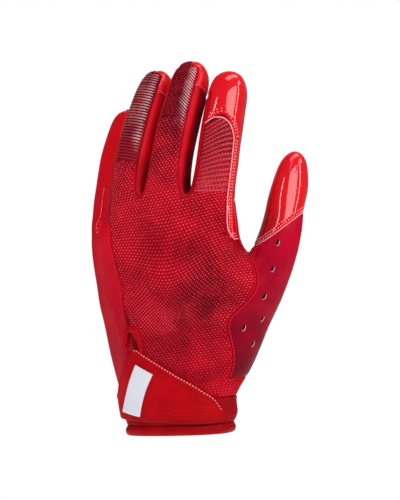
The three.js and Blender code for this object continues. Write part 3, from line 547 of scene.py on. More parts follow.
    def thumb_ring(self, ring: ThumbRing) -> list[Array]:
        """The eight corner points of a thumb ring."""
        origin = self.place(ring.across, ring.inward, 0)
        origin[2] = self.height(MIDDLE_WEB[2]) + ring.along * self.size.thumb_length
        half = ring.size * self.size.thumb_width * self.size.thumb_swell / 2
        frame = Frame(origin, np.array([1.0, 0.0, 0.0]), np.array([0.0, 1.0, 0.0]))
        points = []
        for degrees in CORNERS.values():
            point = self.section_point(frame, degrees, half, half, self.size.thumb_squareness)
            lift = math.tan(math.radians(ring.tilt)) * math.cos(math.radians(degrees - THUMB_TILT_TOWARDS))
            point[2] += half * lift
            points.append(point)
        return points


def edge_table(faces: Array) -> tuple[Array, Array, Array]:
    """Edges of four-sided faces.

    Args:
        faces: Point numbers of each face.

    Returns:
        The edges' ends, the edge after each face corner, and how many faces share each edge.
    """
    ends = np.stack([faces, np.roll(faces, -1, axis=1)], axis=2).reshape(-1, 2)
    keys, inverse, uses = np.unique(np.sort(ends, axis=1), axis=0, return_inverse=True, return_counts=True)
    return keys, inverse.reshape(faces.shape), uses


def gathered(count: int, targets: Array, values: Array) -> Array:
    """Sums values at their target points."""
    total = np.zeros((count, values.shape[-1]))
    np.add.at(total, targets.ravel(), values.reshape(-1, values.shape[-1]))
    return total


def smoothed(points: Array, faces: Array, tags: Array) -> tuple[Array, Array, Array]:
    """One step of smoothing, in which each face becomes four.

    Args:
        points: The cage's points.
        faces: Its faces.
        tags: Panel tag of each face.

    Returns:
        The finer points, faces and tags.
    """
    count = len(points)
    middles = points[faces].mean(axis=1)
    keys, edges, uses = edge_table(faces)
    halves = points[keys].mean(axis=1)
    sides = gathered(len(keys), edges, np.repeat(middles, 4, axis=0))
    edge_points = np.where((uses == 2)[:, None], (2 * halves + sides) / 4, halves)
    valence = np.bincount(keys.ravel(), minlength=count)[:, None]
    shared = np.bincount(faces.ravel(), minlength=count)[:, None]
    face_mean = gathered(count, faces, np.repeat(middles, 4, axis=0)) / shared
    edge_mean = gathered(count, keys, np.repeat(halves, 2, axis=0)) / valence
    moved = (face_mean + 2 * edge_mean + (valence - 3) * points) / valence
    rim = keys[uses == 1]
    near = gathered(count, rim, points[rim[:, ::-1]])
    on_rim = np.unique(rim)
    moved[on_rim] = points[on_rim] * 0.75 + near[on_rim] * 0.125
    edge_ids = count + edges
    face_ids = np.repeat(count + len(keys) + np.arange(len(faces))[:, None], 4, axis=1)
    finer = np.stack([faces, edge_ids, face_ids, np.roll(edge_ids, 1, axis=1)], axis=2).reshape(-1, 4)
    return np.vstack([moved, edge_points, middles]), finer, np.repeat(tags, 4)


def settled(points: Array, faces: Array) -> Array:
    """Points moved to where endless smoothing would leave them."""
    count = len(points)
    keys, _, uses = edge_table(faces)
    valence = np.bincount(keys.ravel(), minlength=count)[:, None]
    near = gathered(count, keys, points[keys[:, ::-1]])
    far = gathered(count, faces, points[np.roll(faces, 2, axis=1)])
    result = (points * valence ** 2 + 4 * near + far) / (valence * (valence + 5))
    rim = keys[uses == 1]
    beside = gathered(count, rim, points[rim[:, ::-1]])
    on_rim = np.unique(rim)
    result[on_rim] = points[on_rim] * 2 / 3 + beside[on_rim] / 6
    return result


def point_normals(points: Array, faces: Array) -> Array:
    """Outward direction at each point, from the faces round it."""
    corner = points[faces]
    normals = np.cross(corner[:, 2] - corner[:, 0], corner[:, 3] - corner[:, 1])
    return unit(gathered(len(points), faces, np.repeat(normals, 4, axis=0)))


@dataclass
class HandSurface:
    """The smoothed hand by column and row, between cuff and thumb web."""

    cage: GloveCage
    step: float = 0.05

    def __post_init__(self) -> None:
        """Keeps the rows with one more below the open edge."""
        rows = np.array(self.cage.rows)
        self.rows = np.concatenate([(2 * rows[0] - rows[1])[None], rows])

    @staticmethod
    def weights(share: Array) -> Array:
        """Weights of four neighbours on a smooth curve."""
        return np.stack([
            (1 - share) ** 3 / 6,
            (3 * share ** 3 - 6 * share ** 2 + 4) / 6,
            (-3 * share ** 3 + 3 * share ** 2 + 3 * share + 1) / 6,
            share ** 3 / 6,
        ])

    def at(self, column: Array, row: Array) -> Array:
        """Points at columns and rows, which may lie between two of them."""
        column, row = np.broadcast_arrays(np.asarray(column, float), np.asarray(row, float))
        first_column, first_row = np.floor(column).astype(int), np.floor(row).astype(int)
        across, up = self.weights(column - first_column), self.weights(row - first_row)
        point = np.zeros((*column.shape, 3))
        for row_step in range(4):
            ring = np.clip(first_row + row_step, 0, len(self.rows) - 1)
            for column_step in range(4):
                near = self.rows[ring, (first_column - 1 + column_step) % RING_SIZE]
                point += near * (up[row_step] * across[column_step])[..., None]
        return point

    def row_at(self, column: Array, height: Array) -> Array:
        """Rows at which columns reach heights."""
        low = np.zeros(np.broadcast(column, height).shape)
        high = np.full_like(low, len(HAND_RINGS) - 3)
        for _ in range(24):
            row = (low + high) / 2
            below = self.at(column, row)[..., 2] < height
            low, high = np.where(below, row, low), np.where(below, high, row)
        return (low + high) / 2

    def across(self, column: Array, row: Array) -> Array:
        """Short steps towards the next column."""
        return self.at(column + self.step, row) - self.at(column - self.step, row)

    def spots(self, column: Array, row: Array) -> tuple[Array, Array]:
        """Points and outward directions at columns and rows."""
        row = np.asarray(row, float)
        up = self.at(column, row + self.step) - self.at(column, np.maximum(row - self.step, 0))
        return self.at(column, row), unit(np.cross(self.across(column, row), up))

    def spots_at(self, column: Array, height: Array) -> tuple[Array, Array]:
        """Points and outward directions at columns and heights in mm."""
        return self.spots(column, self.row_at(column, height))


@dataclass
class Hits:
    """Places on the skin: points, outward directions, panel tags and distances to the next seam."""

    points: Array
    normals: Array
    tags: Array
    seam: Array
    along: Array | None = None


@dataclass
class Skin:
    """The smoothed skin with its seams, soft folds and searches."""

    cage: GloveCage
    surface: HandSurface
    steps: int = 3
    groove_depth: float = 0.55
    groove_width: float = 1.25
    fold_height: float = 0.5
    fold_length: float = 19.0

    def __post_init__(self) -> None:
        """Smooths the cage, then adds puckers, folds and seam grooves."""
        points, faces = np.array(self.cage.points), np.array(self.cage.faces)
        tags = np.array(self.cage.tags)
        for _ in range(self.steps):
            points, faces, tags = smoothed(points, faces, tags)
        points = settled(points, faces)
        normals = point_normals(points, faces)
        points = self.puckered(points, normals)
        self.faces, self.tags, self.normals = faces, tags, point_normals(points, faces)
        self.flat = points
        self.keys, self.edges, _ = edge_table(faces)
        self.edge_tags = self.sides_of_edges()
        seam_tree = self.tree(points[np.unique(self.seam_edges())])
        self.seam = np.array([seam_tree.find(point)[2] for point in points])
        self.points = points + self.normals * (self.folds(points) - self.groove())[:, None]
        self.normals = point_normals(self.points, faces)
        self.finder = BVHTree.FromPolygons(self.points.tolist(), faces.tolist())

    @staticmethod
    def tree(points: Array) -> KDTree:
        """A search tree of points."""
        tree = KDTree(len(points))
        for number, point in enumerate(points):
            tree.insert(point, number)
        tree.balance()
        return tree

    def puckered(self, points: Array, normals: Array) -> Array:
        """Points raised or sunk along the short ridges beside the strap."""
        result = points.copy()
        depth = self.cage.size.hand_depth
        for pucker in PUCKERS:
            height = self.cage.height(pucker.height)
            column = np.array(pucker.column)
            row = self.surface.row_at(column, np.array(height))
            middle, normal = self.surface.spots(column, row)
            across = unit(self.surface.across(column, row))
            along = turned(unit(np.cross(normal, across)), normal, pucker.turn)
            across = np.cross(along, normal)
            offset = points - middle
            width = pucker.width * depth
            distance = (offset @ across / width) ** 2 + (offset @ along / (pucker.length * depth)) ** 2
            rise = pucker.rise * width * np.exp(-distance) * (normals @ normal > 0)
            result += normals * rise[:, None]
        return result

    def folds(self, points: Array) -> Array:
        """Height of the cloth's broad soft folds."""
        scaled = points / self.fold_length
        values = np.array([noise.noise(Vector(point)) for point in scaled])
        return values * self.fold_height

    def groove(self) -> Array:
        """Depth to which the skin sinks towards a seam."""
        return self.groove_depth * np.exp(-(self.seam / self.groove_width) ** 2)

    def sides_of_edges(self) -> Array:
        """Lowest and highest panel tag beside each edge."""
        low = np.full(len(self.keys), len(TAGS))
        high = np.full(len(self.keys), -1)
        beside = np.repeat(self.tags, 4)
        np.minimum.at(low, self.edges.ravel(), beside)
        np.maximum.at(high, self.edges.ravel(), beside)
        return np.stack([low, high], axis=1)

    def seam_edges(self) -> Array:
        """Ends of all edges between two panels."""
        return self.keys[self.edge_tags[:, 0] != self.edge_tags[:, 1]]

    def seams(self, first: Panel, second: Panel) -> list[Array]:
        """Point numbers along each seam between two panels, in order.

        Args:
            first: Panel on one side.
            second: Panel on the other.

        Returns:
            One array for each run of the seam.
        """
        wanted = sorted((TAGS[first], TAGS[second]))
        ends = self.keys[(self.edge_tags == wanted).all(axis=1)]
        near: dict[int, list[int]] = {}
        for start, end in ends.tolist():
            near.setdefault(start, []).append(end)
            near.setdefault(end, []).append(start)
        runs = []
        left = set(near)
        while left:
            tips = sorted(point for point in left if len(near[point]) == 1) or sorted(left)
            run = [tips[0]]
            left.discard(tips[0])
            while True:
                following = [point for point in near[run[-1]] if point in left]
                if not following:
                    break
                run.append(following[0])
                left.discard(following[0])
            runs.append(np.array(run))
        return runs

    def cast(self, origins: Array, directions: Array) -> Hits:
        """First places that rays meet; a miss has tag -1."""
        hits = [self.finder.ray_cast(Vector(origin), Vector(direction))
                for origin, direction in zip(origins, directions)]
        return self.as_hits(hits)

    def cast_back(self, across: Array, heights: Array) -> Hits:
        """First places that level rays meet from behind the back of the hand."""
        origins = np.stack([across, np.full_like(across, -70.0), heights], axis=1)
        return self.cast(origins, np.tile([0.0, 1.0, 0.0], (len(across), 1)))

    def nearest(self, points: Array) -> Hits:
        """Places on the skin nearest to points."""
        return self.as_hits([self.finder.find_nearest(Vector(point)) for point in points])

    def as_hits(self, hits: Iterable[tuple]) -> Hits:
        """Search results with smooth outward directions."""
        points, normals, tags, seam = [], [], [], []
        for place, _, face, _ in hits:
            if place is None:
                points.append((0.0, 0.0, 0.0))
                normals.append((0.0, 0.0, 1.0))
                tags.append(-1)
                seam.append(0.0)
                continue
            corners = self.faces[face]
            near = 1 / (np.linalg.norm(self.points[corners] - np.array(place), axis=1) + 0.05)
            points.append(tuple(place))
            normals.append((self.normals[corners] * near[:, None]).sum(axis=0))
            tags.append(self.tags[face])
            seam.append((self.seam[corners] * near).sum() / near.sum())
        return Hits(np.array(points), unit(np.array(normals)), np.array(tags), np.array(seam))


def linear(hex_colour: str) -> tuple[float, float, float, float]:
    """Turns an sRGB hex colour to linear, with full opacity."""
    channels = [int(hex_colour[start:start + 2], 16) / 255 for start in (1, 3, 5)]
    red, green, blue = (c / 12.92 if c <= 0.04045 else ((c + 0.055) / 1.055) ** 2.4 for c in channels)
    return red, green, blue, 1.0


def add_node(tree: bpy.types.NodeTree, kind: str, settings: dict[str, Any] | None = None,
             links: dict[str, bpy.types.NodeSocket] | None = None) -> bpy.types.Node:
    """Adds a node with its settings and links.

    Args:
        tree: The node tree.
        kind: Type of the node.
        settings: Values by the name of an input or a property.
        links: Sockets to link in, by the name of an input.

    Returns:
        The new node.
    """
    node = tree.nodes.new(kind)
    for name, value in (settings or {}).items():
        if isinstance(name, str) and hasattr(node, name):
            setattr(node, name, value)
        else:
            node.inputs[name].default_value = value
    for name, socket in (links or {}).items():
        tree.links.new(socket, node.inputs[name])
    return node


class Grain(Enum):
    """Fine surface of a finish."""

    LOOPS = "loops"
    TWILL = "twill"
    PEBBLE = "pebble"
    SATIN = "satin"
    TWIST = "twist"


@dataclass(frozen=True)
class Finish:
    """A finish: its colours, gloss and fine surface.

    The deep colour shows in the hollows of the grain as painted shade, and more where a mesh's tone is high.
    """

    name: str
    colour: str
    deep: str
    roughness: float
    grain: Grain
    pitch: float
    relief: float
    ior: float = 1.5
    specular: float = 0.2
    coat: float = 0.0
    coat_roughness: float = 0.1
    blotch: float = 12.0
    # share of deep colour in the grain's hollows, a painted shade
    hollow: float = 0.3

    def grain_height(self, tree: bpy.types.NodeTree, place: bpy.types.NodeSocket) -> bpy.types.NodeSocket:
        """Height of the fine surface, from 0 to 1."""
        scale = 1 / (self.pitch * MM)
        if self.grain in (Grain.LOOPS, Grain.PEBBLE):
            cells = add_node(tree, "ShaderNodeTexVoronoi", {
                "feature": "SMOOTH_F1", "Scale": scale, "Smoothness": 0.4, "Randomness": 0.7,
            }, {"Vector": place})
            return add_node(tree, "ShaderNodeMath", {"operation": "SUBTRACT", 0: 1.0},
                            {1: cells.outputs["Distance"]}).outputs[0]
        if self.grain in (Grain.TWILL, Grain.TWIST):
            bands = add_node(tree, "ShaderNodeTexWave", {
                "wave_type": "BANDS", "bands_direction": "DIAGONAL", "Scale": scale / 3.2,
                "Distortion": 1.2, "Detail": 1.0, "Detail Scale": 2.0,
            }, {"Vector": place})
            return bands.outputs["Fac"]
        fibres = add_node(tree, "ShaderNodeTexNoise", {"Scale": scale, "Detail": 3.0, "Roughness": 0.6},
                          {"Vector": place})
        return fibres.outputs["Fac"]

    def build(self) -> bpy.types.Material:
        """Makes the material, named for the finish."""
        material = bpy.data.materials.new(self.name)
        material.use_nodes = True
        tree = material.node_tree
        tree.nodes.clear()
        place = add_node(tree, "ShaderNodeTexCoord").outputs["Object"]
        height = self.grain_height(tree, place)
        clouds = add_node(tree, "ShaderNodeTexNoise", {"Scale": 1 / (self.blotch * MM), "Detail": 2.0},
                          {"Vector": place})
        tone = add_node(tree, "ShaderNodeAttribute", {"attribute_name": "tone"})
        # painted shade: the deep colour gathers in the grain's hollows
        hollow = add_node(tree, "ShaderNodeMapRange",
                          {"From Min": 0.2, "From Max": 1.0, "To Min": self.hollow, "To Max": 0.0},
                          {"Value": height})
        cloud = add_node(tree, "ShaderNodeMapRange",
                         {"From Min": 0.35, "From Max": 0.65, "To Min": -0.08, "To Max": 0.12},
                         {"Value": clouds.outputs["Fac"]})
        both = add_node(tree, "ShaderNodeMath", {"operation": "ADD"},
                        {0: hollow.outputs["Result"], 1: cloud.outputs["Result"]})
        share = add_node(tree, "ShaderNodeMath", {"operation": "ADD", "use_clamp": True},
                         {0: both.outputs[0], 1: tone.outputs["Fac"]})
        colour = add_node(tree, "ShaderNodeMix", {"data_type": "RGBA"}, {"Factor": share.outputs[0]})
        colour.inputs[6].default_value = linear(self.colour)
        colour.inputs[7].default_value = linear(self.deep)
        gloss = add_node(tree, "ShaderNodeMapRange", {
            "From Min": 0.3, "From Max": 0.7,
            "To Min": max(0.02, self.roughness - 0.05), "To Max": self.roughness + 0.05,
        }, {"Value": clouds.outputs["Fac"]})
        bump = add_node(tree, "ShaderNodeBump", {"Strength": 1.0, "Distance": self.relief * MM},
                        {"Height": height})
        shader = add_node(tree, "ShaderNodeBsdfPrincipled", {
            "IOR": self.ior, "Specular IOR Level": self.specular, "Coat Weight": self.coat,
            "Coat Roughness": self.coat_roughness,
        }, {
            "Base Color": colour.outputs[2], "Roughness": gloss.outputs["Result"],
            "Normal": bump.outputs["Normal"],
        })
        add_node(tree, "ShaderNodeOutputMaterial", None, {"Surface": shader.outputs["BSDF"]})
        return material


# Bulky polyester knit, dyed crimson: open loops, with painted shade that darkens the hollows
# between the yarns to maroon
BULKY_KNIT = Finish("bulky_polyester_knit", "#cc061f", "#4c0210", 0.8, Grain.LOOPS, 0.9, 0.22, specular=0.05,
                    hollow=0.6)
# Bright filament yarn floated over the knit: round shiny grains, whose pale pink is partly
# a painted highlight
FLOAT_YARN_AND_HIGHLIGHT = Finish("filament_yarn_and_highlight", "#f4485c", "#a80620", 0.34, Grain.TWIST, 0.5, 0.06, specular=0.35,
                    coat=0.1, coat_roughness=0.25, hollow=0.15)
# The same yarn drawn out in tight ribs over the fingertips, painted pale as a highlight,
# with dark base cloth between
RIB_YARN_PAINTED_HIGHLIGHT = Finish("rib_yarn_painted_highlight", "#fcd8da", "#8c0a26", 0.4, Grain.TWIST, 0.5, 0.06, specular=0.3,
                   hollow=0.1)
# Elastane jersey, pressed smooth: even bright red with a soft satin light
STRETCH_JERSEY = Finish("elastane_jersey", "#cc041c", "#500008", 0.5, Grain.TWILL, 0.45, 0.02, specular=0.06,
                        coat=0.04, coat_roughness=0.3, hollow=0.08)
# Closer warp-knit jersey of the outer side: bright red, with painted shade that turns it a darker,
# cooler crimson towards the wrist
SIDE_JERSEY = Finish("warp_knit_jersey", "#d60418", "#a00424", 0.5, Grain.TWILL, 0.45, 0.02, specular=0.08,
                     coat=0.05, coat_roughness=0.25, hollow=0.08)
# Microfibre with a cast silicone skin: wet-looking gloss over a barely uneven coat
SILICONE_GRIP = Finish("silicone_coated_microfibre", "#e20418", "#8c0008", 0.35, Grain.SATIN, 1.6, 0.02,
                       ior=1.41, specular=0.1, coat=1.0, coat_roughness=0.05, hollow=0.15)
# The palm's thicker silicone skin, cast over a fine pebble: the same red with a broken, softer gloss
PALM_SILICONE = Finish("pebbled_silicone_palm", "#d80416", "#900008", 0.4, Grain.PEBBLE, 1.3, 0.07,
                       ior=1.41, specular=0.1, coat=0.5, coat_roughness=0.28, hollow=0.25)
# Synthetic leather, embossed and punched: deep crimson with a satin, finely pebbled face
PUNCHED_LEATHER = Finish("embossed_synthetic_leather", "#b80428", "#6c0218", 0.45, Grain.PEBBLE, 0.8, 0.04,
                         specular=0.05, coat=0.03, coat_roughness=0.3, hollow=0.15)
# Jersey laminated under a polyurethane film: flat red with a soft broad gloss
LAMINATED_JERSEY = Finish("film_laminated_jersey", "#b80210", "#680206", 0.5, Grain.TWILL, 0.6, 0.03,
                          specular=0.05, coat=0.02, coat_roughness=0.3, hollow=0.2)
# Knitted elastic of covered rubber thread: matte ribs, with painted shade in the valleys
RIBBED_ELASTIC = Finish("knitted_elastic", "#b00414", "#50020c", 0.7, Grain.TWILL, 0.5, 0.08, specular=0.08)
# Bonded polyester thread, twisted: small pink-red stitches with a slight shine
BONDED_THREAD = Finish("bonded_polyester_thread", "#f83c50", "#c01028", 0.45, Grain.TWIST, 0.3, 0.04)
# Woolly overlock thread in the knit's own crimson: a soft raised rope along the seam
OVERLOCK_THREAD = Finish("woolly_overlock_thread", "#dc0c24", "#a00418", 0.5, Grain.TWIST, 0.4, 0.05,
                         specular=0.15)
# Folded edge tape, a paler pink: smooth and matte
EDGE_TAPE = Finish("folded_edge_tape", "#ffa0a8", "#f87884", 0.5, Grain.SATIN, 0.6, 0.02, hollow=0.2)
# Thermoplastic rubber, injection moulded in white: flat, even and matte
MOULDED_WHITE = Finish("moulded_white_rubber", "#dcdce6", "#d0d0da", 0.55, Grain.SATIN, 0.5, 0.012,
                       hollow=0.2)
# Cut edge of the punched holes, on one side of each: the pale backing, and a painted highlight
CUT_EDGE_BACKING_AND_HIGHLIGHT = Finish("cut_edge_backing_and_highlight", "#b898a0", "#987880", 0.55, Grain.SATIN, 0.3, 0.02)


def placed(name: str, data: bpy.types.ID) -> bpy.types.Object:
    """Makes an object of its data and puts it into the scene."""
    item = bpy.data.objects.new(name, data)
    bpy.context.scene.collection.objects.link(item)
    return item


def turn_outward(mesh: bpy.types.Mesh) -> None:
    """Turns the faces of closed bodies outward."""
    shape = bmesh.new()
    shape.from_mesh(mesh)
    bmesh.ops.recalc_face_normals(shape, faces=shape.faces)
    shape.to_mesh(mesh)
    shape.free()


@dataclass
class Shop:
    """Makes pieces from points and faces, with one material for each finish."""

    shift: Array
    made: dict[str, bpy.types.Material] = field(default_factory=dict)

    def material(self, finish: Finish) -> bpy.types.Material:
        """The finish's material, made at its first use."""
        if finish.name not in self.made:
            self.made[finish.name] = finish.build()
        return self.made[finish.name]

    def piece(self, name: str, points: Array, faces: Sequence[Sequence[int]], finish: Finish, slot: str,
              tone: Array | None = None, nodes: Sequence[str] = (), sharp: float = 50.0,
              face_outward: bool = False) -> bpy.types.Object:
        """Makes one piece of the glove.

        Args:
            name: Name of the piece.
            points: Points in mm in the cage's frame.
            faces: Point numbers of each face, outward.
            finish: Its finish.
            slot: Material slot of the record; not used.
            tone: Share of the finish's deep colour at each point.
            nodes: Solids that the piece stands for.
            sharp: Angle in degrees from which an edge is drawn sharp.
            face_outward: Whether the faces still have to be turned outward.

        Returns:
            The new object.
        """
        mesh = bpy.data.meshes.new(name)
        mesh.from_pydata(((points - self.shift) * MM).tolist(), [], [list(face) for face in faces])
        if face_outward:
            turn_outward(mesh)
        mesh.shade_smooth()
        mesh.set_sharp_from_angle(angle=math.radians(sharp))
        values = np.zeros(len(points)) if tone is None else tone
        mesh.attributes.new("tone", "FLOAT", "POINT").data.foreach_set("value", values.astype(np.float32))
        mesh.materials.append(self.material(finish))
        item = placed(name, mesh)
        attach(item, BODY)
        if nodes:
            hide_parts(*nodes)
        LOG.info("%s: %d points, %d faces", name, len(points), len(faces))
        return item


def grid_faces(rows: int, columns: int, closed: bool = False) -> Array:
    """Faces of a grid of points, whose rows may close on themselves."""
    last = columns if closed else columns - 1
    row, column = np.meshgrid(np.arange(rows - 1), np.arange(last), indexing="ij")
    after = (column + 1) % columns
    corners = [row * columns + column, row * columns + after, (row + 1) * columns + after,
               (row + 1) * columns + column]
    return np.stack(corners, axis=-1).reshape(-1, 4)


def closed_shell(top: Array, bottom: Array) -> tuple[Array, Array]:
    """A closed body between two grids of points.

    Args:
        top: Points of the outer side, rows by columns.
        bottom: Points of the inner side, of the same shape.

    Returns:
        The points and the faces.
    """
    rows, columns = top.shape[:2]
    count = rows * columns
    grid = grid_faces(rows, columns)
    number = np.arange(count).reshape(rows, columns)
    rim = np.concatenate([number[0], number[1:, -1], number[-1, -2::-1], number[-2:0:-1, 0]])
    after = np.roll(rim, -1)
    sides = np.stack([rim, rim + count, after + count, after], axis=1)
    points = np.vstack([top.reshape(-1, 3), bottom.reshape(-1, 3)])
    return points, np.vstack([grid, grid[:, ::-1] + count, sides])


def rounded(distance: Array, radius: float) -> Array:
    """Height of a rounded edge at a distance from it, from 0 up to the radius."""
    inside = np.clip(radius - distance, 0, radius)
    return np.sqrt(radius ** 2 - inside ** 2)


def plate(points: Array, normals: Array, seat: float, body: Array) -> tuple[Array, Array]:
    """Points and faces of a plate on a grid of points, from a seat's height up by the body's thickness."""
    return closed_shell(points + normals * (seat + body)[..., None], points + normals * seat)


def edge_steps(length: float, step: float, radius: float) -> Array:
    """Places across a length, closer together within a radius of its ends."""
    near = radius * np.array([0.0, 0.06, 0.25, 0.6, 1.0])
    inner = np.linspace(radius, length - radius, max(2, round((length - 2 * radius) / step)))
    return np.concatenate([near[:-1], inner, length - near[-2::-1]])


def arc_lengths(points: Array) -> Array:
    """Distance of each point along a line of points."""
    steps = np.linalg.norm(np.diff(points, axis=0), axis=1)
    return np.concatenate([[0.0], np.cumsum(steps)])


def resampled(values: Array, lengths: Array, places: Array) -> Array:
    """Values of a line at other lengths along it."""
    return np.stack([np.interp(places, lengths, values[:, axis]) for axis in range(values.shape[1])], axis=1)


def along_line(points: Array, normals: Array, places: Array) -> tuple[Array, Array, Array]:
    """Points, directions and outward directions at distances along a line of points.

    Args:
        points: Points of the line.
        normals: Outward directions at them.
        places: Distances along the line.

    Returns:
        Points, directions of the line and outward directions at the places.
    """
    lengths = arc_lengths(points)
    ways = unit(resampled(np.gradient(points, axis=0), lengths, places))
    return resampled(points, lengths, places), ways, unit(resampled(normals, lengths, places))


@dataclass
class Bundle:
    """Many small closed shapes gathered into one mesh."""

    points: list[Array] = field(default_factory=list)
    faces: list[list[int]] = field(default_factory=list)
    tones: list[Array] = field(default_factory=list)
    count: int = 0

    def add(self, points: Array, faces: Iterable[Sequence[int]], tone: Array | float = 0.0) -> None:
        """Adds one shape."""
        self.faces.extend([[corner + self.count for corner in face] for face in faces])
        self.points.append(points)
        self.tones.append(np.broadcast_to(tone, len(points)))
        self.count += len(points)

    def add_tube(self, path: Array, normals: Array, half_width: Array | float, half_height: float,
                 sides: int = 6, lift: float = 0.0, tone: Array | float = 0.0) -> None:
        """Adds a closed tube of oval section along a path.

        Args:
            path: Points of the path.
            normals: Outward directions along it.
            half_width: Half the section's width, one value or one for each point.
            half_height: Half the section's height.
            sides: Sides of the section.
            lift: Height of the section's middle above the path.
            tone: Share of the deep colour, one value or one for each point.
        """
        along = unit(np.gradient(path, axis=0))
        across = unit(np.cross(along, normals))
        up = np.cross(across, along)
        angles = np.arange(sides) / sides * 2 * np.pi
        width = np.broadcast_to(half_width, len(path))[:, None, None]
        ring = (path + up * lift)[:, None] + across[:, None] * np.cos(angles)[None, :, None] * width \
            + up[:, None] * np.sin(angles)[None, :, None] * half_height
        faces = [list(face) for face in grid_faces(len(path), sides, closed=True)]
        faces.append(list(range(sides))[::-1])
        faces.append([len(path) * sides - sides + side for side in range(sides)])
        self.add(ring.reshape(-1, 3), [face[::-1] for face in faces],
                 np.repeat(np.broadcast_to(tone, len(path)), sides))

    def add_grain(self, place: Array, along: Array, normal: Array, size: tuple[float, float, float],
                  tone: float = 0.0) -> None:
        """Adds a rounded grain of a length, width and height, half sunk in the surface."""
        along = unit(along - normal * np.dot(along, normal))
        across = np.cross(normal, along)
        local = GRAIN_POINTS * (np.array(size) / 2)
        self.add(place + local @ np.stack([along, across, normal]), GRAIN_FACES, tone)

    def finish(self, shop: Shop, name: str, finish: Finish, slot: str) -> bpy.types.Object:
        """Makes the bundle's one mesh."""
        return shop.piece(name, np.vstack(self.points), self.faces, finish, slot, np.concatenate(self.tones),
                          sharp=80.0)


def grain_template(sides: int = 6, stations: Sequence[float] = (-0.72, 0.0, 0.72)) -> tuple[Array, list]:
    """Points and faces of a small rounded grain of size two each way."""
    points = [(-1.0, 0.0, 0.0)]
    for station in stations:
        radius = math.sqrt(1 - station ** 2)
        for side in range(sides):
            angle = side / sides * 2 * math.pi
            points.append((station, radius * math.cos(angle), radius * math.sin(angle)))
    points.append((1.0, 0.0, 0.0))
    faces: list[list[int]] = []
    last = len(points) - 1
    for side in range(sides):
        after = (side + 1) % sides
        faces.append([0, 1 + after, 1 + side])
        for station in range(len(stations) - 1):
            start = 1 + station * sides
            faces.append([start + side, start + after, start + sides + after, start + sides + side])
        start = 1 + (len(stations) - 1) * sides
        faces.append([start + side, start + after, last])
    return np.array(points), faces


GRAIN_POINTS, GRAIN_FACES = grain_template()


@dataclass(frozen=True)
class ShadePatch:
    """A soft patch of painted shade on the back: its strength, its middle and its half sizes in mm."""

    strength: float
    across: float
    height: float
    half_width: float
    half_length: float

    def tone(self, points: Array) -> Array:
        """Share of deep colour that the patch gives to points."""
        return self.strength * mound((points[:, 0], self.across, self.half_width),
                                     (points[:, 2], self.height, self.half_length))


# Patches of painted shade: over the thumb's base and low on the knit, and over the thumb's base on its grains
THUMB_BASE_SHADE = ShadePatch(0.4, 26, 84, 17, 30)
WRIST_SHADE = ShadePatch(0.25, -6, 52, 18, 16)
YARN_SHADE = ShadePatch(0.5, 22, 78, 16, 24)


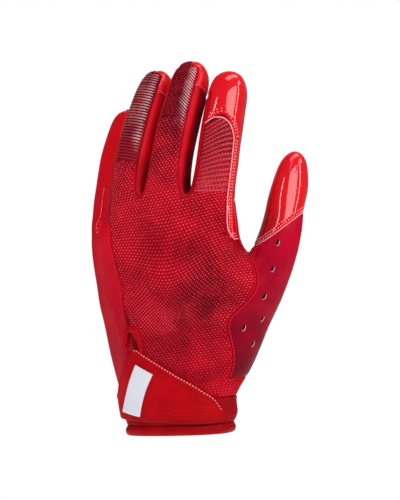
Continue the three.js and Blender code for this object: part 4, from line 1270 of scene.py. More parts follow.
@dataclass
class SkinPanels:
    """The sewn panels of the skin, each a thin closed shell with a sunk edge."""

    skin: Skin
    shop: Shop
    draw_back: float = 0.1
    # share of painted shade on the inner faces
    inner_shade: float = 0.6
    index_edge: float = 14.0

    finishes = {
        Panel.OUTER_SIDE: (SIDE_JERSEY, "stretch", 1.5),
        Panel.BACK: (BULKY_KNIT, "knit", 1.6),
        Panel.VENT: (PUNCHED_LEATHER, "vent", 1.4),
        Panel.PALM: (PALM_SILICONE, "grip", 1.6),
        Panel.INDEX_GRIP: (SILICONE_GRIP, "grip", 1.6),
        Panel.THUMB_GRIP: (SILICONE_GRIP, "grip", 1.6),
        **{panel: (STRETCH_JERSEY, "stretch", 1.5) for panel in FOURCHETTES},
    }
    # painted shade towards the wrist: its strength, and the heights where it starts and where it is full
    wrist_painted_shade = {Panel.VENT: (0.9, 120, 40), Panel.OUTER_SIDE: (0.7, 170, 60)}

    def build(self) -> dict[Panel, bpy.types.Object]:
        """Makes every panel."""
        return {panel: self.shell(panel) for panel in self.finishes}

    def shell(self, panel: Panel) -> bpy.types.Object:
        """Makes one panel's shell."""
        finish, slot, wall = self.finishes[panel]
        faces = self.skin.faces[self.skin.tags == TAGS[panel]]
        used, local = np.unique(faces, return_inverse=True)
        local = local.reshape(faces.shape)
        outer = self.skin.points[used]
        normals = self.skin.normals[used]
        _, edges, uses = edge_table(local)
        rim = np.stack([local, np.roll(local, -1, axis=1)], axis=2)[uses[edges] == 1]
        middles = outer[local].mean(axis=1)
        inward = gathered(len(used), local, np.repeat(middles, 4, axis=0))
        shares = np.bincount(local.ravel(), minlength=len(used))[:, None]
        on_rim = np.unique(rim)
        outer = outer.copy()
        outer[on_rim] += unit(inward / shares - outer)[on_rim] * self.draw_back
        inner = outer - normals * wall
        count = len(used)
        sides = np.stack([rim[:, 1], rim[:, 0], rim[:, 0] + count, rim[:, 1] + count], axis=1)
        all_faces = np.vstack([local, local[:, ::-1] + count, sides])
        tone = self.tone(panel, self.skin.flat[used], normals)
        # the inner faces take painted shade, as the dark inside of the glove
        return self.shop.piece(f"sewn_{panel.value}", np.vstack([outer, inner]), all_faces, finish, slot,
                               np.concatenate([tone, np.full(count, self.inner_shade)]), [panel.value])

    def tone(self, panel: Panel, points: Array, normals: Array) -> Array:
        """Share of deep colour at a panel's points.

        The knit darkens up the fingers and in soft blotches; painted shade darkens it over the thumb's base
        and low on the back, and also darkens the side strips where they fold away from the back and down in
        their roots, the punched panel and the outer side towards the wrist, and the thumb's grip low on the
        side that faces the hand.

        Args:
            panel: The panel.
            points: Its points, before folds and grooves.
            normals: Outward directions at them.

        Returns:
            One share for each point.
        """
        across, height = points[:, 0], points[:, 2]
        if panel is Panel.BACK:
            fingers = 0.45 * ramp(height, 150, 195) * ramp(across, self.index_edge, 8)
            index = 0.45 * ramp(height, 158, 178) * (across > self.index_edge)
            # painted shade over the thumb's base and low on the back
            patches = THUMB_BASE_SHADE.tone(points) + WRIST_SHADE.tone(points)
            return np.clip(fingers + patches + index + 0.22 * blotches(points), 0, 1)
        if panel in FOURCHETTES:
            # painted shade on the half of a strip that turns away from the front, and down in its root
            folded, root = ramp(normals[:, 1], -0.5, -0.15), ramp(height, 172, 146)
            return np.clip(0.8 * folded + 0.35 * root, 0, 1)
        # painted shade, darker towards the wrist
        if panel in self.wrist_painted_shade:
            strength, start, end = self.wrist_painted_shade[panel]
            return strength * ramp(height, start, end)
        # painted shade low on the side of the thumb that faces the hand
        if panel is Panel.THUMB_GRIP:
            return 0.9 * ramp(across, 67, 57) * ramp(height, 165, 130)
        return np.zeros(len(points))


@dataclass
class Seams:
    """Stitches, edge tape and raised seams along the panels' edges."""

    skin: Skin
    shop: Shop
    thread: Bundle = field(default_factory=Bundle)

    def line(self, first: Panel, second: Panel, shortest: float = 6.0) -> list[Array]:
        """Runs of the seam between two panels, longer than a length."""
        runs = [self.skin.points[run] for run in self.skin.seams(first, second)]
        return [run for run in runs if len(run) > 2 and arc_lengths(run)[-1] > shortest]

    def beside(self, run: Array, panel: Panel, distance: float, pitch: float) -> Hits:
        """Places in a panel at a distance beside a seam.

        Args:
            run: Points of the seam.
            panel: Panel that the places lie in.
            distance: Distance from the seam.
            pitch: Distance between two places.

        Returns:
            The places that lie in the panel.
        """
        lengths = arc_lengths(run)
        places = np.arange(pitch / 2, lengths[-1], pitch)
        points = resampled(run, lengths, places)
        along = unit(np.gradient(points, axis=0)) if len(points) > 1 else np.zeros_like(points)
        on_seam = self.skin.nearest(points)
        across = unit(np.cross(on_seam.normals, along))
        sides = [self.skin.nearest(points + across * distance * side) for side in (1, -1)]
        first = (sides[0].tags == TAGS[panel]).sum() >= (sides[1].tags == TAGS[panel]).sum()
        hits = sides[0] if first else sides[1]
        keep = (hits.tags == TAGS[panel]) & (hits.seam > distance * 0.6)
        return Hits(hits.points[keep], hits.normals[keep], hits.tags[keep], hits.seam[keep], along[keep])

    def stitch(self, first: Panel, second: Panel, panel: Panel, distance: float, pitch: float = 2.0,
               size: tuple[float, float, float] = (1.3, 0.42, 0.4), bundle: Bundle | None = None,
               steep: float = 0.0) -> None:
        """Lays a row of stitches beside the seam of two panels.

        Args:
            first: Panel on one side.
            second: Panel on the other.
            panel: The one of the two that takes the stitches.
            distance: Distance from the seam.
            pitch: Distance between two stitches.
            size: Length, width and height of a stitch.
            bundle: Bundle that takes them, if not the common thread.
            steep: Least rise of the seam, as a share of its length, for it to be stitched.
        """
        target = self.thread if bundle is None else bundle
        for run in self.line(first, second):
            hits = self.beside(run, panel, distance, pitch)
            for place, normal, along in zip(hits.points, hits.normals, hits.along):
                if abs(along[2]) >= steep:
                    target.add_grain(place, along, normal, size)

    def build(self) -> None:
        """Lays all the seams."""
        for panel in FOURCHETTES:
            self.stitch(Panel.BACK, panel, Panel.BACK, 1.2, 1.9, (1.1, 0.36, 0.34))
            self.stitch(Panel.PALM, panel, Panel.PALM, 1.3, 2.1)
        self.stitch(Panel.BACK, Panel.OUTER_SIDE, Panel.OUTER_SIDE, 1.3, 2.1, (0.9, 0.26, 0.26))
        self.stitch(Panel.PALM, Panel.OUTER_SIDE, Panel.PALM, 1.5, 2.2)
        self.stitch(Panel.BACK, Panel.PALM, Panel.PALM, 1.4, 2.0)
        pale = Bundle()
        for distance in (1.9, 3.6):
            self.stitch(Panel.BACK, Panel.INDEX_GRIP, Panel.INDEX_GRIP, distance, 1.9, (1.2, 0.6, 0.6), pale)
        self.stitch(Panel.PALM, Panel.INDEX_GRIP, Panel.PALM, 1.4)
        for distance in (1.5, 3.1):
            self.stitch(Panel.VENT, Panel.THUMB_GRIP, Panel.THUMB_GRIP, distance, 2.0, (1.2, 0.65, 0.65),
                        pale)
        pale.finish(self.shop, "grip_stitches", EDGE_TAPE, "grip")
        self.stitch(Panel.PALM, Panel.THUMB_GRIP, Panel.PALM, 1.4)
        self.stitch(Panel.VENT, Panel.PALM, Panel.VENT, 1.5, 2.2)
        self.thread.finish(self.shop, "seam_stitches", BONDED_THREAD, "stretch")
        raised = Bundle()
        self.stitch(Panel.BACK, Panel.VENT, Panel.VENT, 0.8, 1.7, (1.6, 1.2, 1.0), raised, 0.35)
        self.stitch(Panel.BACK, Panel.VENT, Panel.BACK, 1.2, 1.9, (1.4, 0.8, 0.8), raised, 0.35)
        raised.finish(self.shop, "vent_seam_overlock", OVERLOCK_THREAD, "vent")
        tape = Bundle()
        self.tape(tape, Panel.BACK, Panel.INDEX_GRIP, 0.42, 9.0)
        self.tape(tape, Panel.VENT, Panel.THUMB_GRIP, 0.26, 3.0)
        tape.finish(self.shop, "edge_tapes", EDGE_TAPE, "stretch")

    def tape(self, bundle: Bundle, first: Panel, second: Panel, half_width: float, softness: float) -> None:
        """Lays a folded tape along a seam, whose bends it rounds.

        Args:
            bundle: Bundle that takes the tape.
            first: Panel on one side.
            second: Panel on the other.
            half_width: Half the tape's width.
            softness: Length over which a bend is rounded.
        """
        for run in self.line(first, second):
            lengths = arc_lengths(run)
            places = np.arange(0, lengths[-1], 0.7)
            reach = np.minimum(np.minimum(places, lengths[-1] - places), softness)
            shares = np.linspace(-1, 1, 15)[:, None]
            path = np.mean([resampled(run, lengths, places + share * reach) for share in shares], axis=0)
            spots = self.skin.nearest(path)
            bundle.add_tube(spots.points, spots.normals, half_width, 0.42, sides=8, lift=0.12)


@dataclass
class FingerLine:
    """A finger's centre line as a table of frames."""

    cage: GloveCage
    finger: Finger
    stations: int = 121

    def __post_init__(self) -> None:
        """Works out the frames."""
        shares = np.linspace(0, 0.985, self.stations)
        frames = [self.cage.finger_frame(self.finger, share) for share in shares]
        self.lengths = shares * self.finger.length
        self.origins = np.array([frame.origin for frame in frames])
        self.thumbward = np.array([frame.thumbward for frame in frames])
        self.palmward = np.array([frame.palmward for frame in frames])

    def rays(self, lengths: Array, degrees: Array) -> tuple[Array, Array]:
        """Rays out of the centre line at lengths along it, turned round it in degrees."""
        lengths = np.clip(lengths, 0, self.lengths[-1])
        origins = resampled(self.origins, self.lengths, lengths)
        thumbward = unit(resampled(self.thumbward, self.lengths, lengths))
        palmward = unit(resampled(self.palmward, self.lengths, lengths))
        turn = np.radians(degrees)[:, None]
        return origins, thumbward * np.cos(turn) + palmward * np.sin(turn)


@dataclass(frozen=True)
class GrainStyle:
    """Grains of a row: pitch, stagger of every other row, and a grain's length, width and height."""

    pitch: float
    stagger: float
    size: tuple[float, float, float]


RICE = GrainStyle(2.25, 1.12, (1.35, 0.62, 0.6))
FINE_RICE = GrainStyle(2.25, 1.12, (1.15, 0.52, 0.45))
RIDGE_DASHES = GrainStyle(1.9, 0.95, (1.5, 0.6, 1.1))
FLAT_DASHES = GrainStyle(1.9, 0.95, (1.2, 0.5, 0.4))
WEAVE = GrainStyle(1.6, 0.8, (1.1, 0.45, 0.4))

# First and last place of the rows and their pitch: heights on the hand, lengths along the fingers
HAND_ROWS = (4.0, 196.0, 1.6)
INDEX_ROWS = (3.5, 64.0, 2.7)
WEAVE_ROWS = (46.0, 88.0, 1.3)


@dataclass(frozen=True)
class RibZone:
    """Ribs over a fingertip: their rows, the slant of each across the finger and its half sizes.

    Shares across the back say where the ribs begin, where their painted highlight starts to grow,
    where it is full and where they end.
    """

    finger: Finger
    rows: tuple[float, float, float]
    slant: float
    half_width: float
    half_height: float
    begin: float
    dark: float
    pale: float
    end: float


RIB_ZONES = (
    RibZone(RING, (24, 90, 1.75), -0.1, 0.5, 0.42, 0.0, 0.5, 0.8, 1.0),
    RibZone(MIDDLE, (44, 89, 1.7), -0.75, 0.42, 0.4, 0.5, 0.54, 0.68, 1.0),
)


@dataclass
class BackKnit:
    """Raised yarns of the knit: grains on the hand and index, ribs on the ring and middle fingers."""

    skin: Skin
    shop: Shop
    cage: GloveCage
    margin: float = 1.3
    seed: int = 7
    samples: int = 72
    herringbone_from: float = 156.0
    herringbone_half_width: float = 12.0
    rice_from: float = 62.0
    lines: dict[str, FingerLine] = field(default_factory=dict)

    def __post_init__(self) -> None:
        """Starts the random draws."""
        self.random = np.random.default_rng(self.seed)

    def build(self) -> None:
        """Lays the grains and ribs."""
        grains = Bundle()
        self.hand_grains(grains)
        grains.finish(self.shop, "back_knit_grains", FLOAT_YARN_AND_HIGHLIGHT, "knit")
        rows = Bundle()
        self.index_rows(rows)
        self.fine_weave(rows)
        rows.finish(self.shop, "finger_knit_grains", FLOAT_YARN_AND_HIGHLIGHT, "knit")
        ribs = Bundle()
        for zone in RIB_ZONES:
            self.ribs(ribs, zone)
        ribs.finish(self.shop, "finger_knit_ribs", RIB_YARN_PAINTED_HIGHLIGHT, "knit")

    def on_back(self, hits: Hits) -> Array:
        """Which places lie in the knit and clear of its seams."""
        return (hits.tags == TAGS[Panel.BACK]) & (hits.seam > self.margin)

    @staticmethod
    def runs(keep: Array) -> list[Array]:
        """Unbroken stretches of wanted places."""
        numbers = np.flatnonzero(keep)
        if not len(numbers):
            return []
        return [run for run in np.split(numbers, np.flatnonzero(np.diff(numbers) > 1) + 1) if len(run) > 3]

    def lay_row(self, bundle: Bundle, hits: Hits, number: int, style: GrainStyle,
                turn: Array | float = 0.0, depth: Array | float = 0.0) -> None:
        """Lays grains along a traced row.

        Args:
            bundle: Bundle that takes the grains.
            hits: Places along the row.
            number: Number of the row; every other row is staggered.
            style: Pitch, stagger and size of the grains.
            turn: Turn of a grain from the row in degrees, one value or one for each place.
            depth: Share of the deep colour, one value or one for each place.
        """
        turn = np.broadcast_to(turn, len(hits.points))
        depth = np.broadcast_to(depth, len(hits.points))
        for run in self.runs(self.on_back(hits)):
            points, normals = hits.points[run], hits.normals[run]
            lengths = arc_lengths(points)
            middle = np.interp(0.0, points[:, 0], lengths)
            first = ((number % 2) * style.stagger + middle) % style.pitch
            places = np.arange(first, lengths[-1], style.pitch)
            centres, ways, ups = along_line(points, normals, places)
            turns = np.interp(places, lengths, turn[run])
            tones = np.interp(places, lengths, depth[run])
            for place, way, up, angle, tone in zip(centres, ways, ups, turns, tones):
                scale = 1 + self.random.uniform(-0.15, 0.15)
                way = turned(way, up, float(angle))
                bundle.add_grain(place, way, up, tuple(part * scale for part in style.size),
                                 float(np.clip(tone + self.random.uniform(-0.1, 0.25), 0, 1)))

    def hand_grains(self, bundle: Bundle) -> None:
        """Rice grains over the back of the hand, in staggered rows that sag in the middle of the hand."""
        across = np.arange(-72, 66, 0.7)
        # Heights where the grains end: on the ring finger and outside it, the middle finger and the index
        tops = np.select([across < -15, across < 11], [166.0, 192.0], 153.0)
        slanted = np.interp(across, (-50, -10, 35), (46, 30, 4))
        from_middle = across + 0.5
        herringbone = np.where(np.abs(from_middle) < self.herringbone_half_width, np.sign(from_middle) * 34,
                               slanted)
        for number, height in enumerate(np.arange(*HAND_ROWS)):
            sag = -13 * mound((across, 4, 24), (height, 98, 26))
            rise = height + 0.14 * (across + 3) + 1.5 * np.sin(across / 26) + sag
            hits = self.skin.cast_back(across, rise)
            turned_away = hits.normals[:, 1] > -0.15
            hits.tags[turned_away | (hits.points[:, 2] > tops)] = -1
            turn = np.where(hits.points[:, 2] > self.herringbone_from, herringbone, slanted)
            style = RICE if height > self.rice_from else FINE_RICE
            self.lay_row(bundle, hits, number, style, turn, self.depth(hits.points))

    @staticmethod
    def depth(points: Array) -> Array:
        """Share of deep colour in the yarn: blotches, and painted shade low and over the thumb's base."""
        low = 0.35 * ramp(points[:, 2], 70, 30)
        return np.clip(0.18 + 0.6 * blotches(points) + YARN_SHADE.tone(points) + low, 0, 1)

    def trace(self, finger: Finger, length: float, slant: float, lowest: float = -178.0,
              highest: float = 10.0) -> Hits:
        """Traces a row round a finger's back, whose height changes by a slant across it."""
        line = self.lines.setdefault(finger.name, FingerLine(self.cage, finger))
        degrees = np.linspace(lowest, highest, self.samples)
        lengths = length + slant * finger.width / 2 * np.cos(np.radians(degrees))
        origins, ways = line.rays(lengths, degrees)
        hits = self.skin.cast(origins, ways)
        far = np.linalg.norm(hits.points - origins, axis=1) > 0.8 * finger.width
        hits.tags[far | (lengths < 0)] = -1
        return hits

    def index_rows(self, bundle: Bundle) -> None:
        """Ridges across the index finger with dashes along them, which slant more higher up."""
        for number, length in enumerate(np.arange(*INDEX_ROWS)):
            slant = float(np.interp(length, (0, 40), (0.05, 0.62)))
            hits = self.trace(INDEX, length, slant)
            self.lay_row(bundle, hits, number, RIDGE_DASHES, depth=0.05)
            between = self.trace(INDEX, length + INDEX_ROWS[2] / 2, slant)
            faint = float(np.interp(length, (10, 30), (0.25, 1.0)))
            self.lay_row(bundle, between, number, FLAT_DASHES, depth=faint)
            height = float(np.interp(length, (0, 24), (0.08, 0.38)))
            for run in self.runs(self.on_back(hits)):
                bundle.add_tube(hits.points[run], hits.normals[run], 0.8, height, tone=0.95)

    def fine_weave(self, bundle: Bundle) -> None:
        """Fine slanting weave over the outer half of the middle fingertip."""
        for number, length in enumerate(np.arange(*WEAVE_ROWS)):
            hits = self.trace(MIDDLE, length, 0.2, highest=-82)
            self.lay_row(bundle, hits, number, WEAVE, turn=-40.0, depth=0.7)

    def ribs(self, bundle: Bundle, zone: RibZone) -> None:
        """Continuous raised ribs across a finger's back, with a painted highlight on the thumb side, painted
        shade on the outer side, and darker in the lowest rows.

        Args:
            bundle: Bundle that takes the ribs.
            zone: Where the ribs lie and how they look.
        """
        shares = np.linspace(0, 1, self.samples)
        # painted light across the finger: shade on the outer side, a highlight towards the thumb side, shade
        # at the end
        tones = np.interp(shares, (zone.dark, zone.pale, 0.9, 1.0), (0.8, 0.05, 0.05, 0.6))
        lowest = zone.rows[0]
        for length in np.arange(*zone.rows):
            hits = self.trace(zone.finger, length, zone.slant)
            hits.tags[(shares < zone.begin) | (shares > zone.end)] = -1
            lower = 0.7 * ramp(length, lowest + 12, lowest)
            for run in self.runs(self.on_back(hits)):
                points, normals = hits.points[run], hits.normals[run]
                arc = arc_lengths(points)
                if arc[-1] < 2.0:
                    continue
                places = np.linspace(0, arc[-1], max(5, int(arc[-1] / 0.6)))
                path, _, ups = along_line(points, normals, places)
                ends = np.minimum(places, arc[-1] - places)
                taper = zone.half_width * np.clip(ends / 1.6, 0.15, 1)
                tone = np.interp(places, arc, tones[run]) + lower + self.random.uniform(0, 0.15)
                bundle.add_tube(path, ups, taper, zone.half_height, lift=0.05, tone=np.clip(tone, 0, 1))


# Thumb welts: where each starts and ends across, in mm
THUMB_WELTS = ((69.2, 70.6), (73.2, 73.8))
# The outer side's dart: shares of the way from the silhouette to the back, and heights in mm
SIDE_DART = ((0.34, 154), (0.26, 138), (0.22, 126), (0.34, 121), (0.46, 126), (0.5, 134))
# The pucker's loop, and a low dark fold inside it that is painted shade in its hollow:
# columns of the hand, and heights in mm
PUCKER_LOOP = ((3.3, 44.0), (3.12, 54.0), (2.85, 63.5), (2.4, 66.5), (2.0, 62.0), (1.9, 53.0))
PUCKER_SHADE_FOLD = ((2.9, 47.0), (2.7, 54.0), (2.45, 61.0))


@dataclass
class Details:
    """Short raised folds: the thumb tip's welts, the outer side's dart, the pucker and the sewn tucks."""

    cage: GloveCage
    surface: HandSurface
    skin: Skin
    shop: Shop
    fold_samples: int = 40
    welt_samples: int = 8
    tuck_samples: int = 24
    tuck_along: float = 0.74

    def build(self) -> None:
        """Makes the folds."""
        self.thumb_welts()
        self.side_dart()
        self.pucker()
        self.tucks()

    def fold(self, bundle: Bundle, points: Sequence[Array], half_width: float, half_height: float,
             tone: float = 0.0) -> None:
        """Lays a raised fold along a soft curve, which is dropped onto the skin.

        Args:
            bundle: Bundle that takes the fold.
            points: Corners of the curve.
            half_width: Half the fold's width.
            half_height: Half its height.
            tone: Share of the deep colour.
        """
        corners = np.array(points)
        lengths = arc_lengths(corners)
        places = np.linspace(0, lengths[-1], self.fold_samples)
        soft = np.linspace(-0.5, 0.5, 9)[:, None] * lengths[-1] / len(corners)
        reach = np.clip(np.minimum(places, lengths[-1] - places) / lengths[-1] * 8, 0, 1)
        path = np.mean([resampled(corners, lengths, places + shift * reach) for shift in soft], axis=0)
        spots = self.skin.nearest(path)
        taper = np.sin(np.linspace(0.2, np.pi - 0.2, self.fold_samples)) ** 0.6
        bundle.add_tube(spots.points, spots.normals, half_width * taper, half_height, sides=8,
                        lift=0.2 * half_height, tone=tone)

    def thumb_welts(self) -> None:
        """Two pinched welts that run over the thumb's tip."""
        bundle = Bundle()
        heights = np.linspace(158.0, 168.0, self.welt_samples)
        for start, end in THUMB_WELTS:
            hits = self.skin.cast_back(np.linspace(start, end, self.welt_samples), heights)
            self.fold(bundle, hits.points[hits.tags == TAGS[Panel.THUMB_GRIP]], 0.5, 0.7)
        bundle.finish(self.shop, "thumb_tip_welts", BONDED_THREAD, "grip")

    def side_dart(self) -> None:
        """The long narrow dart of the outer side, a fold that turns back at its foot."""
        bundle = Bundle()
        points = [np.array([-57.0 + 14 * share + 0.06 * (150 - height), -12.0 - 10 * share, height])
                  for share, height in SIDE_DART]
        self.fold(bundle, points, 0.6, 0.6)
        bundle.finish(self.shop, "side_dart", SILICONE_GRIP, "stretch")

    def pucker(self) -> None:
        """The looped fold of cloth above the strap's outer corner."""
        bundle = Bundle()
        # the inner fold, low and in the full deep colour, is painted shade in the loop's hollow
        for corners, *look in ((PUCKER_LOOP, 1.9, 2.0, 0.1), (PUCKER_SHADE_FOLD, 1.6, 0.35, 1.0)):
            points = self.surface.spots_at(*np.array(corners).T)[0]
            self.fold(bundle, points, *look)
        bundle.finish(self.shop, "pucker_folds", LAMINATED_JERSEY, "stretch")

    def tucks(self) -> None:
        """Short sewn tucks across the side strips, under the ring and middle fingertips."""
        bundle = Bundle()
        for finger in (RING, MIDDLE):
            line = FingerLine(self.cage, finger)
            degrees = np.linspace(-38, 20, self.tuck_samples)
            lengths = np.full(self.tuck_samples, finger.length * self.tuck_along)
            hits = self.skin.cast(*line.rays(lengths, degrees))
            bundle.add_tube(hits.points, hits.normals, 0.45, 0.4, lift=0.1)
        bundle.finish(self.shop, "fingertip_tucks", BONDED_THREAD, "stretch")


@dataclass
class Cuff:
    """The ribbed elastic round the wrist and the rolled binding of its open edge."""

    surface: HandSurface
    shop: Shop
    size: GloveSize
    wall: float = 1.8
    rib_pitch: float = 1.9
    rib_depth: float = 0.5
    samples: int = 1120
    wrinkle: float = 0.22
    roll_sides: int = 20
    roll_samples: int = 480
    roll_painted_shade: float = 0.3

    def build(self) -> None:
        """Makes the band and the hem."""
        self.band()
        self.hem()

    def band(self) -> None:
        """Makes the elastic band with its upright ribs."""
        columns = np.linspace(0, RING_SIZE, self.samples, endpoint=False)
        rows = np.linspace(0.0, CUFF_ROW - 0.03, 12)
        waist = self.surface.at(columns, 1.0)
        lengths = arc_lengths(np.vstack([waist, waist[:1]]))
        ribs = round(lengths[-1] / self.rib_pitch)
        wave = np.abs(np.sin(np.pi * ribs * lengths[:-1] / lengths[-1])) ** 0.7
        loops = []
        for row in rows:
            points, normals = self.surface.spots(columns, row)
            share = math.sin(math.pi * min(1.0, (row + 0.1) / CUFF_ROW))
            sink = self.rib_depth * (1 - wave) * (0.4 + 0.6 * share)
            loops.append(points - normals * sink[:, None])
        for row in rows[::-2]:
            points, normals = self.surface.spots(columns, row)
            loops.append(points - normals * self.wall)
        faces = grid_faces(len(loops) + 1, self.samples, closed=True) % (len(loops) * self.samples)
        # painted shade in the valleys between the ribs
        tone = np.tile(0.55 * (1 - wave), len(loops))
        self.shop.piece("ribbed_cuff", np.vstack(loops), faces, RIBBED_ELASTIC, "rib", tone, ["cuff_band"],
                        sharp=80.0, face_outward=True)

    def hem(self) -> None:
        """Makes the rolled binding, with the shallow wrinkles of its seam."""
        count = self.roll_samples
        columns = np.linspace(0, RING_SIZE, count, endpoint=False)
        line = self.surface.at(columns, 0.0)
        across = self.surface.across(columns, 0.0)
        outward = unit(np.stack([across[:, 1], -across[:, 0], np.zeros(count)], axis=1))
        middle = line - outward * self.wall / 2
        middle[:, 2] += self.size.hem_height / 2 - self.size.skin_base
        lengths = arc_lengths(line)
        loops = []
        for side in range(self.roll_sides):
            angle = side / self.roll_sides * 2 * math.pi
            cosine, sine = math.cos(angle), math.sin(angle)
            places = np.stack([np.cos(columns * 2 * np.pi / RING_SIZE) * 14, lengths / 3.1,
                               np.full(count, sine * 1.6 + cosine)], axis=1)
            crease = np.array([noise.noise(Vector(place)) for place in places]) * self.wrinkle
            pinch = 0.45 * math.exp(-((sine - 0.62) / 0.16) ** 2) * max(0.0, cosine)
            reach = self.size.hem_thickness / 2 * cosine + (crease - pinch) * abs(cosine)
            loops.append(middle + outward * reach[:, None]
                         + np.array([0, 0, 1.0]) * sine * self.size.hem_height / 2)
        faces = grid_faces(self.roll_sides + 1, count, closed=True) % (self.roll_sides * count)
        # painted shade: the whole hem a little darker, as the low part of the glove
        tone = np.full(self.roll_sides * count, self.roll_painted_shade)
        self.shop.piece("rolled_hem", np.vstack(loops), faces, LAMINATED_JERSEY, "rib", tone, ["cuff_hem"],
                        sharp=80.0, face_outward=True)


@dataclass(frozen=True)
class StrapSection:
    """A section of the strap: a column of the hand and its two edges as shares of the skin's length."""

    column: float
    lower: float
    upper: float


STRAP_SECTIONS = (
    StrapSection(-3.5, 0.027, 0.093), StrapSection(-2.0, 0.025, 0.100), StrapSection(-1.0, 0.022, 0.108),
    StrapSection(0.0, 0.019, 0.118), StrapSection(0.7, 0.017, 0.140), StrapSection(1.4, 0.015, 0.197),
    StrapSection(2.2, 0.014, 0.290), StrapSection(2.75, 0.012, 0.328), StrapSection(4.1, 0.011, 0.267),
    StrapSection(5.3, 0.011, 0.213), StrapSection(6.9, 0.012, 0.152), StrapSection(7.9, 0.017, 0.116),
    StrapSection(8.7, 0.022, 0.068), StrapSection(9.0, 0.028, 0.042),
)


@dataclass
class Strap:
    """The closure strap: a padded flap over the back of the wrist, sewn in channels."""

    surface: HandSurface
    shop: Shop
    size: GloveSize
    clearance: float = 0.5
    thickness: float = 2.0
    edge_radius: float = 1.1
    channel_depth: float = 0.34
    channel_width: float = 0.55
    channel_count: int = 5
    top_channel: float = 3.0
    stitch_pitch: float = 2.0

    def __post_init__(self) -> None:
        """Keeps the sections as a table."""
        self.sections = np.array([[part.column, part.lower, part.upper] for part in STRAP_SECTIONS])

    def build(self) -> None:
        """Makes the flap and the stitches along its upper edge."""
        columns = self.columns()
        lower, upper = self.edges(columns)
        reach = arc_lengths(self.surface.spots_at(columns, (lower + upper) / 2)[0])
        shares = edge_steps(1.0, 0.022, 0.09)
        heights = lower + (upper - lower) * shares[:, None]
        points, normals = self.surface.spots_at(np.broadcast_to(columns, heights.shape), heights)
        below, above = heights - lower, upper - heights
        end = np.broadcast_to(np.minimum(reach[-1] - reach, reach), heights.shape)
        distance = np.minimum(np.minimum(below, above), end)
        body = self.thickness - self.edge_radius + rounded(distance, self.edge_radius)
        body -= self.channels(columns, below, above, reach)
        mesh_points, faces = plate(points, normals, self.clearance, body)
        tone = np.concatenate([self.shade(below, above).ravel(), np.zeros(heights.size)])
        self.shop.piece("padded_strap", mesh_points, faces, LAMINATED_JERSEY, "strap", tone,
                        ["closure_strap"], sharp=70.0, face_outward=True)
        self.stitches()

    def columns(self) -> Array:
        """Stations along the strap, closer together at its round end."""
        first, last = self.sections[0, 0], self.sections[-1, 0]
        return np.concatenate([[first, first + 0.01, first + 0.04], np.arange(first + 0.08, last - 0.5, 0.06),
                               np.linspace(last - 0.48, last, 22)])

    def edges(self, columns: Array) -> tuple[Array, Array]:
        """Heights in mm of the lower and upper edge at columns, with softly rounded bends."""
        window = np.linspace(-0.22, 0.22, 9)
        last = self.sections[-1, 0]
        heights = []
        for side in (1, 2):
            near = [np.interp(columns + shift * np.clip((last - columns) / 0.6, 0, 1), self.sections[:, 0],
                              self.sections[:, side]) for shift in window]
            heights.append(self.size.skin_base + np.mean(near, axis=0) * self.size.skin_length)
        return heights[0], heights[1]

    def channels(self, columns: Array, below: Array, above: Array, reach: Array) -> Array:
        """Depth of the sewn channels: one inside the upper edge, the others fanned out from the round end."""
        depth = self.channel_depth * mound((above, self.top_channel, self.channel_width))
        fade = np.clip((columns - 4.0) / 0.8, 0, 1) * np.clip((reach[-1] - reach - 4) / 5, 0, 1)
        spread = np.interp(columns, (4.0, 8.6), (2.9, 1.5))
        for number in range(self.channel_count):
            line = 2.2 + spread * number
            depth = depth + self.channel_depth * 0.8 * fade * mound((below, line, self.channel_width))
        return depth

    def shade(self, below: Array, above: Array) -> Array:
        """Share of the deep colour: painted shade along the lower edge and in the top channel."""
        return 0.45 * mound((below, 0, 3.0)) + 0.25 * mound((above, self.top_channel, 0.6))

    def stitches(self) -> None:
        """Lays the round pale stitches over the upper edge."""
        columns = np.linspace(2.7, 8.6, 400)
        _, upper = self.edges(columns)
        points, normals = self.surface.spots_at(columns, upper - 0.5)
        points = points + normals * (self.clearance + self.thickness - 0.35)
        places = np.arange(0.5, arc_lengths(points)[-1], self.stitch_pitch)
        thread = Bundle()
        for place, way, up in zip(*along_line(points, normals, places)):
            thread.add_grain(place, way, up, (1.25, 0.8, 0.8))
        thread.finish(self.shop, "strap_edge_stitches", EDGE_TAPE, "strap")


@dataclass
class Tab:
    """The plain white tab: a moulded plate with rounded edges, bent over the strap."""

    surface: HandSurface
    shop: Shop
    size: GloveSize
    breadth: float = 14.0
    length: float = 32.0
    seat: float = 2.85
    thickness: float = 1.0
    edge_radius: float = 0.45
    bow: float = -0.12
    low_outer: tuple[float, float] = (1.25, 0.052)
    low_inner: tuple[float, float] = (3.0, 0.034)
    top_outer: tuple[float, float] = (3.0, 0.257)
    top_inner: tuple[float, float] = (4.03, 0.218)

    def build(self) -> None:
        """Makes the plate."""
        across = edge_steps(self.breadth, 0.8, 0.9) / self.breadth
        up = edge_steps(self.length, 0.9, 0.9) / self.length
        side, rise = np.meshgrid(across, up)
        corners = np.array([self.low_outer, self.low_inner, self.top_outer, self.top_inner])
        low = corners[0] + side[..., None] * (corners[1] - corners[0])
        high = corners[2] + side[..., None] * (corners[3] - corners[2])
        spot = low + rise[..., None] * (high - low)
        column = spot[..., 0] - self.bow * np.sin(np.pi * rise) * (1 - side)
        height = self.size.skin_base + spot[..., 1] * self.size.skin_length
        points, normals = self.surface.spots_at(column, height)
        distance = np.minimum(np.minimum(side, 1 - side) * self.breadth,
                              np.minimum(rise, 1 - rise) * self.length)
        body = self.thickness - self.edge_radius + rounded(distance, self.edge_radius)
        mesh_points, faces = plate(points, normals, self.seat, body)
        self.shop.piece("white_tab", mesh_points, faces, MOULDED_WHITE, "tab", None, ["strap_tab"],
                        sharp=60.0, face_outward=True)


